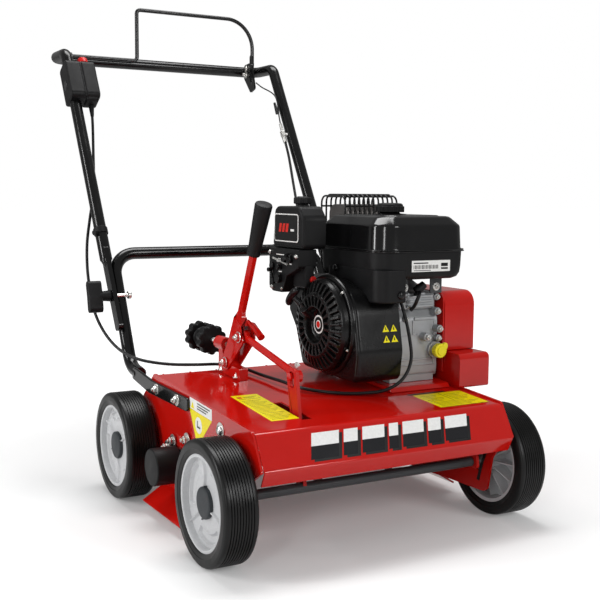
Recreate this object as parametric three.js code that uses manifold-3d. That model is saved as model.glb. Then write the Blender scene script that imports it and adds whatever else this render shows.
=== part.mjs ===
// Petrol lawn dethatcher (scarifier): steel deck on four wheels, a tine rotor driven by a belt from a
// horizontal-shaft engine, a height lever that swings the front axle, and a folding handle.
// Units are millimetres. +X is the machine's belt side, -Y its front, +Z up.
// Lengths along Y are first given from the front axle; the whole machine is then moved so that the
// origin is the centre of its footprint on the ground.
import * as THREE from 'three';
import { mergeVertices } from 'three/addons/utils/BufferGeometryUtils.js';
import Module from 'manifold-3d';

const wasm = await Module();
wasm.setup();

// ---------------------------------------------------------------- driving dimensions
const GAP = 0.4; // clearance between neighbouring pieces
const CENTRE_Y = 423.75; // middle of the machine, measured back from the front axle

const WHEEL_R = 100;
const TYRE_WIDTH = 58;
const RIM_R = 77;
const WHEEL_X = 281.5; // middle of each wheel
const STUB_R = 6; // wheel axle
const REAR_AXLE_Y = 408;

const SHEET = 3; // deck sheet thickness
const SIDE_IN = 241; // inner face of a side plate
const SIDE_OUT = 245; // outer face of a side plate
const DECK_FRONT = { y: -56, z: 214 };
const DECK_REAR = { y: 353, z: 240 };

const CARRIAGE = { y: 104, z: 125 }; // pivot of the front axle carriage
const ARM_PIN = { y: 36, z: 277 }; // link pin in the carriage arm
const ARM_X = -125;
const LEVER_PIVOT = { y: 300, z: 261 };
const LEVER_PIN = { y: 242, z: 316 }; // link pin in the lever
const LEVER_X = -111;
const LEVER_TOP = { y: 168, z: 560 };
const DEPTH_SCREW_Z = 292;

const ROTOR = { y: 228, z: 100 };
const CRANK = { y: 168, z: 340 };
const ROTOR_PULLEY_R = 48;
const CRANK_PULLEY_R = 38;
const BELT_X = 272;
const BELT_WIDTH = 12;
const TENSIONER = { y: 281, z: 296 };
const IDLER = { y: 266, z: 236 };
const IDLER_R = 16;
const TINE_R = 75;

const TUBE_R = 12.5; // handle tubes
const LOWER_X = 240; // axis of a lower handle leg
const UPPER_X = 258; // axis of an upper handle leg
const FOLD = { y: 545, z: 370 }; // fold pivot of the handle
const LEG_SLOPE = 0.588; // run per rise of an upper leg
const GRIP_BAR = { y: 935, z: 880 };
const BAIL_PIVOT = { y: 914, z: 886 };
const BAIL_R = 4.5;

// ---------------------------------------------------------------- finishes
const finish = (color, roughness, metalness) =>
  new THREE.MeshStandardMaterial({ color, roughness, metalness });
const RED = finish(0xc5140f, 0.3, 0.1);
const BLACK_PAINT = finish(0x111111, 0.35, 0.1);
const BLACK_PLASTIC = finish(0x17181a, 0.55, 0);
const RUBBER = finish(0x1b1b1d, 0.85, 0);
const RIM_GREY = finish(0xb9bbbd, 0.45, 0.2);
const STEEL = finish(0x9a9da0, 0.35, 0.9);
const BEAM_GREY = finish(0x4c4f52, 0.5, 0.4);
const ALUMINIUM = finish(0xa9acae, 0.5, 0.7);
const YELLOW = finish(0xe3d62b, 0.5, 0);
const BUTTON_RED = finish(0xd01818, 0.4, 0);

// ---------------------------------------------------------------- geometry helpers
const vec = (x, y, z) => new THREE.Vector3(x, y, z);
const radians = THREE.MathUtils.degToRad;

/** Height of the deck's upper surface at a distance y behind the front axle. */
function deckTop(y) {
  const run = (y - DECK_FRONT.y) / (DECK_REAR.y - DECK_FRONT.y);
  return DECK_FRONT.z + run * (DECK_REAR.z - DECK_FRONT.z);
}

/** A manifold solid from a closed three.js geometry, turned so that its faces point out. */
function solid(geometry) {
  const bare = geometry.clone();
  bare.deleteAttribute('normal');
  bare.deleteAttribute('uv');
  const merged = mergeVertices(bare, 1e-3);
  const points = new Float32Array(merged.attributes.position.array);
  const faces = new Uint32Array(merged.index.array);
  const kept = [];
  for (let i = 0; i < faces.length; i += 3) {
    const [a, b, c] = [faces[i], faces[i + 1], faces[i + 2]];
    if (a !== b && b !== c && c !== a) kept.push([a, b, c]);
  }
  const corner = (i) => vec(points[3 * i], points[3 * i + 1], points[3 * i + 2]);
  const volume = kept.reduce((sum, [a, b, c]) => sum + corner(a).dot(corner(b).cross(corner(c))), 0);
  const ordered = volume > 0 ? kept : kept.map(([a, b, c]) => [a, c, b]);
  return new wasm.Manifold(new wasm.Mesh({
    numProp: 3,
    vertProperties: points,
    triVerts: new Uint32Array(ordered.flat()),
  }));
}

const join = (first, ...others) => others.reduce((sum, piece) => sum.add(piece), first);
const cut = (first, ...others) => others.reduce((rest, piece) => rest.subtract(piece), first);

/** A box between two opposite corners. */
function block(x0, x1, y0, y1, z0, z1) {
  const geometry = new THREE.BoxGeometry(x1 - x0, y1 - y0, z1 - z0);
  geometry.translate((x0 + x1) / 2, (y0 + y1) / 2, (z0 + z1) / 2);
  return solid(geometry);
}

/** A closed outline from corners [a, b, radius]; a corner with a radius is rounded. */
function outline(corners) {
  const shape = new THREE.Shape();
  corners.forEach(([a, b, radius = 0], i) => {
    const here = new THREE.Vector2(a, b);
    const [ba, bb] = corners[(i + corners.length - 1) % corners.length];
    const [na, nb] = corners[(i + 1) % corners.length];
    const back = new THREE.Vector2(ba, bb).sub(here).normalize();
    const on = new THREE.Vector2(na, nb).sub(here).normalize();
    const reach = radius / Math.tan(back.angleTo(on) / 2);
    const start = here.clone().addScaledVector(back, reach);
    const end = here.clone().addScaledVector(on, reach);
    if (i === 0) shape.moveTo(start.x, start.y);
    else shape.lineTo(start.x, start.y);
    if (radius > 0) shape.quadraticCurveTo(here.x, here.y, end.x, end.y);
  });
  shape.closePath();
  return shape;
}

/** Points round a circle. */
function ring(radius, sides, a = 0, b = 0) {
  return Array.from({ length: sides }, (_, i) => {
    const angle = (2 * Math.PI * i) / sides;
    return new THREE.Vector2(a + radius * Math.cos(angle), b + radius * Math.sin(angle));
  });
}

/** A round hole in an outline; its flats stand outside the radius. */
function roundHole(shape, a, b, radius) {
  const sides = 10;
  shape.holes.push(new THREE.Path(ring(radius / Math.cos(Math.PI / sides), sides, a, b)));
}

const AXES = {
  x: new THREE.Matrix4().makeBasis(vec(0, 1, 0), vec(0, 0, 1), vec(1, 0, 0)),
  y: new THREE.Matrix4().makeBasis(vec(0, 0, 1), vec(1, 0, 0), vec(0, 1, 0)),
  z: new THREE.Matrix4(),
};

/** The same shape with its outline running anticlockwise and its holes clockwise. */
function oriented(shape, curveSegments) {
  const { shape: edge, holes } = shape.extractPoints(curveSegments);
  const clockwise = THREE.ShapeUtils.isClockWise;
  const result = new THREE.Shape(clockwise(edge) ? edge.reverse() : edge);
  result.holes = holes.map((hole) => new THREE.Path(clockwise(hole) ? hole : hole.reverse()));
  return result;
}

/**
 * A shape pushed along one axis from low to high. Its plane is (y, z) for x, (z, x) for y and
 * (x, y) for z.
 */
function slab(shape, axis, low, high, curveSegments = 2) {
  const options = { depth: high - low, bevelEnabled: false };
  const geometry = new THREE.ExtrudeGeometry(oriented(shape, curveSegments), options);
  geometry.translate(0, 0, low);
  return solid(geometry.applyMatrix4(AXES[axis]));
}

/** A round bar between two points, tapered when a second radius is given. */
function bar(from, to, radius, endRadius = radius, sides = 10) {
  const along = to.clone().sub(from);
  const geometry = new THREE.CylinderGeometry(endRadius, radius, along.length(), sides);
  geometry.applyQuaternion(new THREE.Quaternion().setFromUnitVectors(vec(0, 1, 0), along.normalize()));
  geometry.translate(...from.clone().add(to).multiplyScalar(0.5).toArray());
  return solid(geometry);
}

/** A turned piece: profile points [radius, distance] about an axis through a centre. */
function turned(profile, axis, centre, sides = 18) {
  const geometry = new THREE.LatheGeometry(profile.map(([r, d]) => new THREE.Vector2(r, d)), sides);
  const direction = { x: vec(1, 0, 0), y: vec(0, 1, 0), z: vec(0, 0, 1) }[axis];
  geometry.applyQuaternion(new THREE.Quaternion().setFromUnitVectors(vec(0, 1, 0), direction));
  geometry.translate(centre.x, centre.y, centre.z);
  return solid(geometry);
}

/** A path of straight runs joined by arcs, sampled only where it bends. */
class BentPath extends THREE.Curve {
  constructor(corners, bendRadius, bendSteps = 4) {
    super();
    this.stations = [{ at: corners[0], to: corners[1].clone().sub(corners[0]).normalize() }];
    for (let i = 1; i < corners.length - 1; i += 1) {
      const into = corners[i].clone().sub(corners[i - 1]).normalize();
      const out = corners[i + 1].clone().sub(corners[i]).normalize();
      const turn = into.angleTo(out);
      const reach = bendRadius * Math.tan(turn / 2);
      const start = corners[i].clone().addScaledVector(into, -reach);
      const side = out.clone().addScaledVector(into, -into.dot(out)).normalize();
      for (let k = 0; k <= bendSteps; k += 1) {
        const angle = (turn * k) / bendSteps;
        const at = start.clone()
          .addScaledVector(into, bendRadius * Math.sin(angle))
          .addScaledVector(side, bendRadius * (1 - Math.cos(angle)));
        const to = into.clone().multiplyScalar(Math.cos(angle)).addScaledVector(side, Math.sin(angle));
        this.stations.push({ at, to });
      }
    }
    const last = corners.length - 1;
    this.stations.push({ at: corners[last], to: corners[last].clone().sub(corners[last - 1]).normalize() });
  }

  station(u) {
    return this.stations[Math.round(u * (this.stations.length - 1))];
  }

  getPointAt(u) {
    return this.station(u).at.clone();
  }

  getTangentAt(u) {
    return this.station(u).to.clone();
  }
}

const circle = (radius, sides) => new THREE.Shape(ring(radius, sides));

/** A bent tube or wire through the given corners. */
function tube(corners, radius, bendRadius, bendSteps = 3, sides = 8) {
  const extrudePath = new BentPath(corners, bendRadius, bendSteps);
  const steps = extrudePath.stations.length - 1;
  return solid(new THREE.ExtrudeGeometry(circle(radius, sides), { steps, extrudePath }));
}

/** A flexible cable along a smooth curve through the given points. */
function cable(points, radius, steps, sides = 8) {
  const extrudePath = new THREE.CatmullRomCurve3(points, false, 'centripetal');
  return solid(new THREE.ExtrudeGeometry(circle(radius, sides), { steps, extrudePath }));
}

const dethatcher = new THREE.Group();
dethatcher.position.y = -CENTRE_Y;

/** Adds one named piece to the machine. */
function add(name, piece, material) {
  const mesh = piece.getMesh();
  const geometry = new THREE.BufferGeometry();
  geometry.setAttribute('position', new THREE.BufferAttribute(new Float32Array(mesh.vertProperties), 3));
  geometry.setIndex(new THREE.BufferAttribute(new Uint32Array(mesh.triVerts), 1));
  geometry.computeVertexNormals();
  const part = new THREE.Mesh(geometry, material);
  part.name = name;
  dethatcher.add(part);
}

/** The same piece on the other side of the machine. */
const mirrored = (piece) => piece.mirror([1, 0, 0]);

// ---------------------------------------------------------------- wheels
const WHEEL_SIDES = 20;

function tyre(x, y) {
  const half = TYRE_WIDTH / 2;
  const profile = [
    [RIM_R, -half + 3], [RIM_R + 9, -half], [WHEEL_R - 5, -half + 1], [WHEEL_R, -half + 7],
    [WHEEL_R, half - 7], [WHEEL_R - 5, half - 1], [RIM_R + 9, half], [RIM_R, half - 3],
    [RIM_R, -half + 3],
  ];
  return turned(profile, 'x', vec(x, y, WHEEL_R), WHEEL_SIDES);
}

/** The rim: a barrel, a web set back from the outer face, a hub bored for the axle and its cap. */
function rim(x, y, outward) {
  const half = TYRE_WIDTH / 2 - 4;
  const bore = STUB_R + GAP;
  const profile = [
    [0, half + 3], [22, half + 3], [25, half], [27, 7], [RIM_R - 14, 7], [RIM_R - 6, half], [RIM_R - GAP, half],
    [RIM_R - GAP, -half], [RIM_R - 5, -half], [RIM_R - 8, -2], [20, -4], [20, -half], [bore, -half],
    [bore, half - 2], [0, half - 2],
  ];
  return turned(profile.map(([r, d]) => [r, d * outward]), 'x', vec(x, y, WHEEL_R), WHEEL_SIDES);
}

const WHEELS = [
  { place: 'front_left', x: -WHEEL_X, y: 0 },
  { place: 'front_right', x: WHEEL_X, y: 0 },
  { place: 'rear_left', x: -WHEEL_X, y: REAR_AXLE_Y },
  { place: 'rear_right', x: WHEEL_X, y: REAR_AXLE_Y },
];
for (const { place, x, y } of WHEELS) {
  add(`tyre_${place}`, tyre(x, y), RUBBER);
  add(`rim_${place}`, rim(x, y, Math.sign(x)), RIM_GREY);
}
const STUB_END = WHEEL_X + TYRE_WIDTH / 2 - 7; // a wheel axle ends just inside its rim's cap

// ---------------------------------------------------------------- deck
function deckTopPlate() {
  const back = DECK_REAR;
  const section = outline([
    [-77, 136, 0], [-89, 160.5, 4], [DECK_FRONT.y, DECK_FRONT.z, 8], [back.y, back.z, 5], [back.y, back.z - 16],
    [back.y - SHEET, back.z - 16], [back.y - SHEET, back.z - SHEET, 3],
    [DECK_FRONT.y + 2, DECK_FRONT.z - SHEET, 6], [-85.4, 160.3, 3], [-74.3, 137.3, 0],
  ]);
  const sheet = slab(section, 'x', -SIDE_IN + GAP, SIDE_IN - GAP);
  const armSlot = block(ARM_X - 10, ARM_X + 10, -14, 96, 190, 240);
  return cut(sheet, armSlot);
}

/** Where the front wheel axle stands when the carriage has turned by an angle. */
function axlePath(angle, offset = 0) {
  const reach = Math.hypot(CARRIAGE.y, WHEEL_R - CARRIAGE.z) + offset;
  const rest = Math.atan2(WHEEL_R - CARRIAGE.z, -CARRIAGE.y);
  return new THREE.Vector2(
    CARRIAGE.y + reach * Math.cos(rest + angle),
    CARRIAGE.z + reach * Math.sin(rest + angle),
  );
}

function sidePlate() {
  const plate = outline([
    [-86, 160, 3], [-53, 217, 8], [DECK_REAR.y, 241.5, 8], [395, 203, 20], [432, 172, 10], [438, 92, 14],
    [395, 60, 14], [306, 40, 10], [177, 40, 10], [93, 44, 12], [-22, 46, 16], [-34, 112, 14], [-59, 143, 5],
  ]);
  const slot = new THREE.Path();
  const width = STUB_R + 1;
  const ends = [radians(-21), radians(10)];
  const steps = 4;
  for (let k = 0; k <= steps; k += 1) {
    const p = axlePath(ends[0] + ((ends[1] - ends[0]) * k) / steps, width);
    if (k === 0) slot.moveTo(p.x, p.y);
    else slot.lineTo(p.x, p.y);
  }
  for (let k = steps; k >= 0; k -= 1) {
    const p = axlePath(ends[0] + ((ends[1] - ends[0]) * k) / steps, -width);
    slot.lineTo(p.x, p.y);
  }
  slot.closePath();
  plate.holes.push(slot);
  roundHole(plate, CARRIAGE.y, CARRIAGE.z, STUB_R + GAP);
  roundHole(plate, ROTOR.y, ROTOR.z, 20);
  roundHole(plate, REAR_AXLE_Y, WHEEL_R, STUB_R + GAP);
  const wall = slab(plate, 'x', SIDE_IN, SIDE_OUT);
  const flare = [[48, SIDE_OUT - 2], [20, 288], [17, 286], [44, SIDE_IN + 0.5]];
  const skirt = slab(outline(flare), 'y', 130, 304);
  const guardBolt = turned([[0, -3], [7, -3], [7, 2], [5, 5], [0, 6]], 'x', vec(SIDE_OUT + 2.5, 58, 196), 8);
  return join(wall, skirt, guardBolt);
}

function enginePlatform() {
  const [front, back, rise] = [78, 345, 9];
  const section = outline([
    [front, deckTop(front) + GAP], [front, deckTop(front) + rise - 2], [front + 3, deckTop(front) + rise],
    [back, deckTop(back) + rise], [back, deckTop(back) + GAP],
  ]);
  return slab(section, 'x', 96, 228);
}

add('deck_top', deckTopPlate(), RED);
add('side_plate_right', sidePlate(), RED);
add('side_plate_left', mirrored(sidePlate()), RED);
add('engine_platform', enginePlatform(), RED);

add('rear_axle', bar(vec(-STUB_END, REAR_AXLE_Y, WHEEL_R), vec(STUB_END, REAR_AXLE_Y, WHEEL_R), STUB_R), STEEL);

// ---------------------------------------------------------------- front axle carriage
const BEAM_R = 8.5;
const BEAM_END = 232;

function frontAxle() {
  const beam = bar(vec(-BEAM_END, 0, WHEEL_R), vec(BEAM_END, 0, WHEEL_R), BEAM_R);
  const stubs = bar(vec(-STUB_END, 0, WHEEL_R), vec(STUB_END, 0, WHEEL_R), STUB_R);
  const side = outline([
    [-9, WHEEL_R - 12, 8], [-9, WHEEL_R + 12, 8], [CARRIAGE.y + 14, CARRIAGE.z + 14, 12],
    [CARRIAGE.y + 14, CARRIAGE.z - 14, 12],
  ]);
  const cheek = join(slab(side, 'x', 222, 228), carriageBolt());
  return join(beam, stubs, cheek, mirrored(cheek));
}

/** The bolt a cheek swings on: it runs in the side plate and is fixed to the cheek. */
function carriageBolt() {
  const { y, z } = CARRIAGE;
  const shank = bar(vec(216, y, z), vec(SIDE_OUT + 3, y, z), STUB_R);
  const head = bar(vec(SIDE_OUT + GAP, y, z), vec(SIDE_OUT + 6, y, z), 10, 10, 6);
  return join(shank, head);
}

/** The upright bar on the beam; its slot takes the link pin with play for the link's swing. */
function carriageArm() {
  const lean = ARM_PIN.y / (ARM_PIN.z - WHEEL_R);
  const top = ARM_PIN.z + 14;
  const width = 16;
  const yAt = (z) => lean * (z - WHEEL_R);
  const side = outline([
    [yAt(88) - width, 88, 8], [yAt(top) - width, top, 9], [yAt(top) + width, top, 9], [yAt(88) + width, 88, 8],
  ]);
  const slot = outline([
    [ARM_PIN.y - 9, ARM_PIN.z - 18, 5], [ARM_PIN.y - 7, ARM_PIN.z + 9, 5],
    [ARM_PIN.y + 7, ARM_PIN.z + 9, 5], [ARM_PIN.y + 5, ARM_PIN.z - 18, 5],
  ]);
  side.holes.push(new THREE.Path(slot.getPoints(4)));
  const arm = slab(side, 'x', ARM_X - 3, ARM_X + 3);
  return cut(arm, bar(vec(-200, 0, WHEEL_R), vec(0, 0, WHEEL_R), BEAM_R + GAP));
}

add('front_axle_beam', frontAxle(), BEAM_GREY);
add('carriage_arm', carriageArm(), RED);

// ---------------------------------------------------------------- height lever and its linkage
const BRACKET_HALF = 9; // half the bracket's width
const CHEEK = 3; // lever fork plate thickness
const BAR_END = 0.7; // share of the lever that is bare bar, below the grip

/** The bracket on the deck: a foot, a tongue that carries the lever, and the boss of the depth screw. */
function leverBracket() {
  const [front, back] = [248, 338];
  const side = outline([
    [front, deckTop(front) + GAP], [front, 256, 2], [LEVER_PIVOT.y - 16, 258, 2], [LEVER_PIVOT.y - 10, 272, 8],
    [LEVER_PIVOT.y + 10, 272, 6], [back - 24, 262, 4], [back - 12, 294, 4], [back, 294, 2],
    [back, deckTop(back) + GAP],
  ]);
  roundHole(side, LEVER_PIVOT.y, LEVER_PIVOT.z, 5 + GAP);
  const [low, high] = [LEVER_X - BRACKET_HALF, LEVER_X + BRACKET_HALF];
  const body = slab(side, 'x', low, high);
  const onScrew = (y) => vec(LEVER_X, y, DEPTH_SCREW_Z);
  const boss = bar(onScrew(back - 20), onScrew(back + 16), 13, 13, 18);
  const thread = bar(onScrew(back - 40), onScrew(back + 40), 5 + GAP);
  return cut(join(body, boss), thread);
}

/** Point of the lever's centre line at a share of the way from the pivot to the top. */
function onLever(share, across = 0) {
  const along = new THREE.Vector2(LEVER_TOP.y - LEVER_PIVOT.y, LEVER_TOP.z - LEVER_PIVOT.z);
  const normal = new THREE.Vector2(along.y, -along.x).normalize();
  return [
    LEVER_PIVOT.y + share * along.x + across * normal.x,
    LEVER_PIVOT.z + share * along.y + across * normal.y,
  ];
}

/** Two fork plates on the bracket, closed above it by the flat bar that carries the grip. */
function heightLever() {
  const plate = outline([
    [LEVER_PIVOT.y - 4, LEVER_PIVOT.z - 15, 8], [LEVER_PIN.y - 16, LEVER_PIN.z - 8, 10],
    [...onLever(0.33, -8), 14], onLever(BAR_END, -8), onLever(BAR_END, 8), [...onLever(0.33, 8), 14],
    [LEVER_PIVOT.y + 15, LEVER_PIVOT.z + 4, 10],
  ]);
  const outer = BRACKET_HALF + GAP + CHEEK;
  const both = slab(plate, 'x', LEVER_X - outer, LEVER_X + outer);
  const slotWidth = BRACKET_HALF + GAP;
  const forkGap = outline([
    onLever(-0.3, -90), onLever(0.285, -90), onLever(0.285, 90), onLever(-0.3, 90),
  ]);
  const sideTrim = outline([onLever(0.32, -60), onLever(1.1, -60), onLever(1.1, 60), onLever(0.32, 60)]);
  const blade = cut(
    both,
    slab(forkGap, 'x', LEVER_X - slotWidth, LEVER_X + slotWidth),
    slab(sideTrim, 'x', LEVER_X - outer - 1, LEVER_X - 4),
    slab(sideTrim, 'x', LEVER_X + 4, LEVER_X + outer + 1),
  );
  const pins = [LEVER_PIVOT, LEVER_PIN].map(({ y, z }) => join(
    bar(vec(LEVER_X - outer - 5, y, z), vec(LEVER_X + outer + 5, y, z), 5),
    bar(vec(LEVER_X - outer - 5, y, z), vec(LEVER_X - outer + 1, y, z), 9, 9, 12),
    bar(vec(LEVER_X + outer - 1, y, z), vec(LEVER_X + outer + 5, y, z), 9, 9, 6),
  ));
  const sleeve = bar(vec(LEVER_X + 15, 244, 342), vec(LEVER_X + 15, 206, 318), 7);
  return join(blade, ...pins, sleeve);
}

function leverGrip() {
  const low = onLever(BAR_END + 0.0015);
  return bar(vec(LEVER_X, ...low), vec(LEVER_X, ...onLever(1)), 12, 16, 16);
}

/** A round rod with a flat eye at each end. Its front eye carries the pin that runs in the arm's slot. */
function linkRod() {
  const eyeX = LEVER_X;
  const rear = vec(eyeX, LEVER_PIN.y, LEVER_PIN.z);
  const front = vec(ARM_X + 10, ARM_PIN.y, ARM_PIN.z);
  const along = front.clone().sub(rear).normalize();
  const rod = bar(rear.clone().addScaledVector(along, 10), front.clone().addScaledVector(along, -8), 6.5);
  const eye = (centre, halfWidth, radius) => bar(
    centre.clone().setX(centre.x - halfWidth), centre.clone().setX(centre.x + halfWidth), radius);
  const pin = bar(vec(ARM_X - 7, ARM_PIN.y, ARM_PIN.z), vec(ARM_X + 12, ARM_PIN.y, ARM_PIN.z), 3.5);
  const head = bar(vec(ARM_X - 8, ARM_PIN.y, ARM_PIN.z), vec(ARM_X - 4, ARM_PIN.y, ARM_PIN.z), 7, 7, 12);
  const bore = bar(rear.clone().setX(eyeX - 20), rear.clone().setX(eyeX + 20), 5 + GAP);
  return cut(join(rod, eye(rear, 6, 12), eye(front, 4, 10), pin, head), bore);
}

/** The depth screw: a threaded rod with a double star knob. */
function depthScrew() {
  const z = DEPTH_SCREW_Z;
  const rod = bar(vec(LEVER_X, 322, z), vec(LEVER_X, 392, z), 5);
  const star = new THREE.Shape();
  const points = 28;
  for (let k = 0; k < points; k += 1) {
    const angle = (2 * Math.PI * k) / points;
    const radius = 26 + (k % 4 < 2 ? 3 : 0);
    const at = [z + radius * Math.cos(angle), LEVER_X + radius * Math.sin(angle)];
    if (k === 0) star.moveTo(...at);
    else star.lineTo(...at);
  }
  const near = slab(star, 'y', 382, 408);
  const far = slab(star, 'y', 434, 460);
  const neck = bar(vec(LEVER_X, 406, z), vec(LEVER_X, 436, z), 18);
  return join(rod, near, neck, far);
}

add('lever_bracket', leverBracket(), RED);
add('height_lever', heightLever(), RED);
add('lever_grip', leverGrip(), BLACK_PLASTIC);
add('link_rod', linkRod(), RED);
add('depth_knob', depthScrew(), BLACK_PLASTIC);

// ---------------------------------------------------------------- rotor
const SHAFT_R = 12;
const SPACER_R = 19;

function rotorBlades() {
  const spacer = bar(vec(-205, ROTOR.y, ROTOR.z), vec(205, ROTOR.y, ROTOR.z), SPACER_R);
  const blades = [];
  const count = 13;
  for (let k = 0; k < count; k += 1) {
    const x = -196 + (392 * k) / (count - 1);
    const blade = outline([[-TINE_R, 5], [-TINE_R, -5], [0, -25], [TINE_R, -5], [TINE_R, 5], [0, 25]]);
    const plate = solid(new THREE.ExtrudeGeometry(blade, { depth: 3, bevelEnabled: false })
      .applyMatrix4(AXES.x)
      .applyMatrix4(new THREE.Matrix4().makeRotationX(radians(37 * k)))
      .translate(x, ROTOR.y, ROTOR.z));
    blades.push(plate);
  }
  const bore = bar(vec(-300, ROTOR.y, ROTOR.z), vec(300, ROTOR.y, ROTOR.z), SHAFT_R + 1.2);
  return cut(join(spacer, ...blades), bore);
}

function pulley(radius, x, centre, bore) {
  const half = BELT_WIDTH / 2 + 3;
  const floor = radius - 9;
  const profile = [
    [bore, -half], [radius + 3, -half], [radius + 3, -half + 2], [floor, -half + 6], [floor, half - 6],
    [radius + 3, half - 2], [radius + 3, half], [bore, half], [bore, -half],
  ];
  return turned(profile, 'x', vec(x, centre.y, centre.z), 20);
}

function bearingHousing() {
  const { y, z } = ROTOR;
  const flange = outline([
    [y - 46, z - 12, 12], [y - 26, z - 30, 18], [y + 26, z - 30, 18], [y + 46, z - 12, 12],
    [y + 46, z + 12, 12], [y + 26, z + 30, 18], [y - 26, z + 30, 18], [y - 46, z + 12, 12],
  ]);
  roundHole(flange, y, z, SHAFT_R + GAP);
  return slab(flange, 'x', SIDE_OUT + GAP, SIDE_OUT + 7);
}

function shaftEndCover() {
  const start = SIDE_OUT + 7 + GAP;
  const depth = 300 - start;
  const profile = [[0, depth], [30, depth], [33, depth - 3], [33, 0], [30, 0], [30, depth - 4], [0, depth - 4]];
  return mirrored(turned(profile, 'x', vec(start, ROTOR.y, ROTOR.z), 20));
}

const shaftLeft = vec(-282, ROTOR.y, ROTOR.z);
const shaftRight = vec(BELT_X + 12, ROTOR.y, ROTOR.z);
add('rotor_shaft', bar(shaftLeft, shaftRight, SHAFT_R, SHAFT_R, 12), STEEL);
add('rotor_blades', rotorBlades(), STEEL);
add('rotor_pulley', pulley(ROTOR_PULLEY_R, BELT_X, ROTOR, SHAFT_R + GAP), STEEL);
add('bearing_housing_right', bearingHousing(), BLACK_PAINT);
add('bearing_housing_left', mirrored(bearingHousing()), BLACK_PAINT);
add('shaft_end_cover', shaftEndCover(), BLACK_PLASTIC);

// ---------------------------------------------------------------- belt drive and its covers
/** The belt's loop: the tangent wrap of two circles, pushed to the belt's width. */
function driveBelt() {
  const loop = (grow) => {
    const centres = [ROTOR, CRANK];
    const radii = [ROTOR_PULLEY_R + grow, CRANK_PULLEY_R + grow];
    const span = Math.hypot(CRANK.y - ROTOR.y, CRANK.z - ROTOR.z);
    const heading = Math.atan2(CRANK.z - ROTOR.z, CRANK.y - ROTOR.y);
    const open = Math.acos((radii[0] - radii[1]) / span);
    const points = [];
    const steps = 12;
    for (let k = 0; k <= steps; k += 1) {
      const angle = heading + open + ((2 * Math.PI - 2 * open) * k) / steps;
      points.push([centres[0].y + radii[0] * Math.cos(angle), centres[0].z + radii[0] * Math.sin(angle)]);
    }
    for (let k = 0; k <= steps; k += 1) {
      const angle = heading - open + (2 * open * k) / steps;
      points.push([centres[1].y + radii[1] * Math.cos(angle), centres[1].z + radii[1] * Math.sin(angle)]);
    }
    return points.map(([a, b]) => new THREE.Vector2(a, b));
  };
  const half = BELT_WIDTH / 2 - 2;
  const outer = slab(new THREE.Shape(loop(2)), 'x', BELT_X - half, BELT_X + half);
  const inner = slab(new THREE.Shape(loop(-5)), 'x', BELT_X - half - 5, BELT_X + half + 5);
  return cut(outer, inner);
}

const COVER_OUT = 306;
const COVER_IN = 236; // inner edge above the deck
const COVER_SHEET = 2.5;
const COVER_SPLIT = 285;

/** A cover shell with an outer wall and a rim, open towards the machine. */
function coverShell(corners, low) {
  const outer = slab(outline(corners), 'x', low, COVER_OUT);
  const count = corners.length;
  const middle = corners.reduce((sum, [a, b]) => [sum[0] + a / count, sum[1] + b / count], [0, 0]);
  const inset = corners.map(([a, b, r]) => [
    a - COVER_SHEET * Math.sign(a - middle[0]),
    b - COVER_SHEET * Math.sign(b - middle[1]),
    Math.max(r - COVER_SHEET, 1),
  ]);
  return cut(outer, slab(outline(inset), 'x', low - 5, COVER_OUT - COVER_SHEET));
}

function lowerCover() {
  const shell = coverShell([
    [56, 222, 4], [56, COVER_SPLIT, 10], [302, COVER_SPLIT, 3], [302, 150, 20], [288, 46, 40], [172, 46, 40],
    [160, 150, 20], [120, 222, 14],
  ], COVER_IN);
  const besidePlate = block(COVER_IN - 1, SIDE_OUT + 0.5, 0, 400, 0, 243);
  const beltWindow = block(COVER_IN - 1, COVER_OUT - COVER_SHEET, 108, 296, COVER_SPLIT - 10, COVER_SPLIT + 5);
  const bearingRoom = block(COVER_IN - 1, SIDE_OUT + 8, ROTOR.y - 60, ROTOR.y + 60, 40, 160);
  return cut(shell, besidePlate, beltWindow, bearingRoom);
}

function upperCover() {
  const low = COVER_SPLIT + GAP;
  const shell = coverShell([[104, low, 2], [104, 396, 14], [300, 396, 14], [300, low, 2]], COVER_IN);
  const beltWindow = block(COVER_IN - 1, COVER_OUT - COVER_SHEET, 108, 296, low - 5, low + 10);
  return cut(shell, beltWindow);
}

/** The plate between engine and covers; it carries the belt tensioner. */
function beltBackplate() {
  const plate = outline([[105, 246], [105, 392, 12], [299, 392, 12], [299, 246]]);
  roundHole(plate, CRANK.y, CRANK.z, 24);
  roundHole(plate, TENSIONER.y, TENSIONER.z, 5 + GAP);
  return slab(plate, 'x', COVER_IN - 3 - GAP, COVER_IN - GAP);
}

function tensionerArm() {
  const along = Math.hypot(TENSIONER.y - IDLER.y, TENSIONER.z - IDLER.z);
  const side = outline([[-10, -9, 7], [along + 10, -9, 7], [along + 10, 9, 7], [-10, 9, 7]]);
  const heading = Math.atan2(IDLER.z - TENSIONER.z, IDLER.y - TENSIONER.y);
  const plate = solid(new THREE.ExtrudeGeometry(side, { depth: 4, bevelEnabled: false, curveSegments: 3 })
    .rotateZ(heading)
    .applyMatrix4(AXES.x)
    .translate(BELT_X - 18, TENSIONER.y, TENSIONER.z));
  const pivot = bar(vec(COVER_IN - 8, TENSIONER.y, TENSIONER.z), vec(BELT_X - 15, TENSIONER.y, TENSIONER.z), 5);
  const idlerPin = bar(vec(BELT_X - 15, IDLER.y, IDLER.z), vec(BELT_X + 10, IDLER.y, IDLER.z), 4);
  return join(plate, pivot, idlerPin);
}

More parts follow.
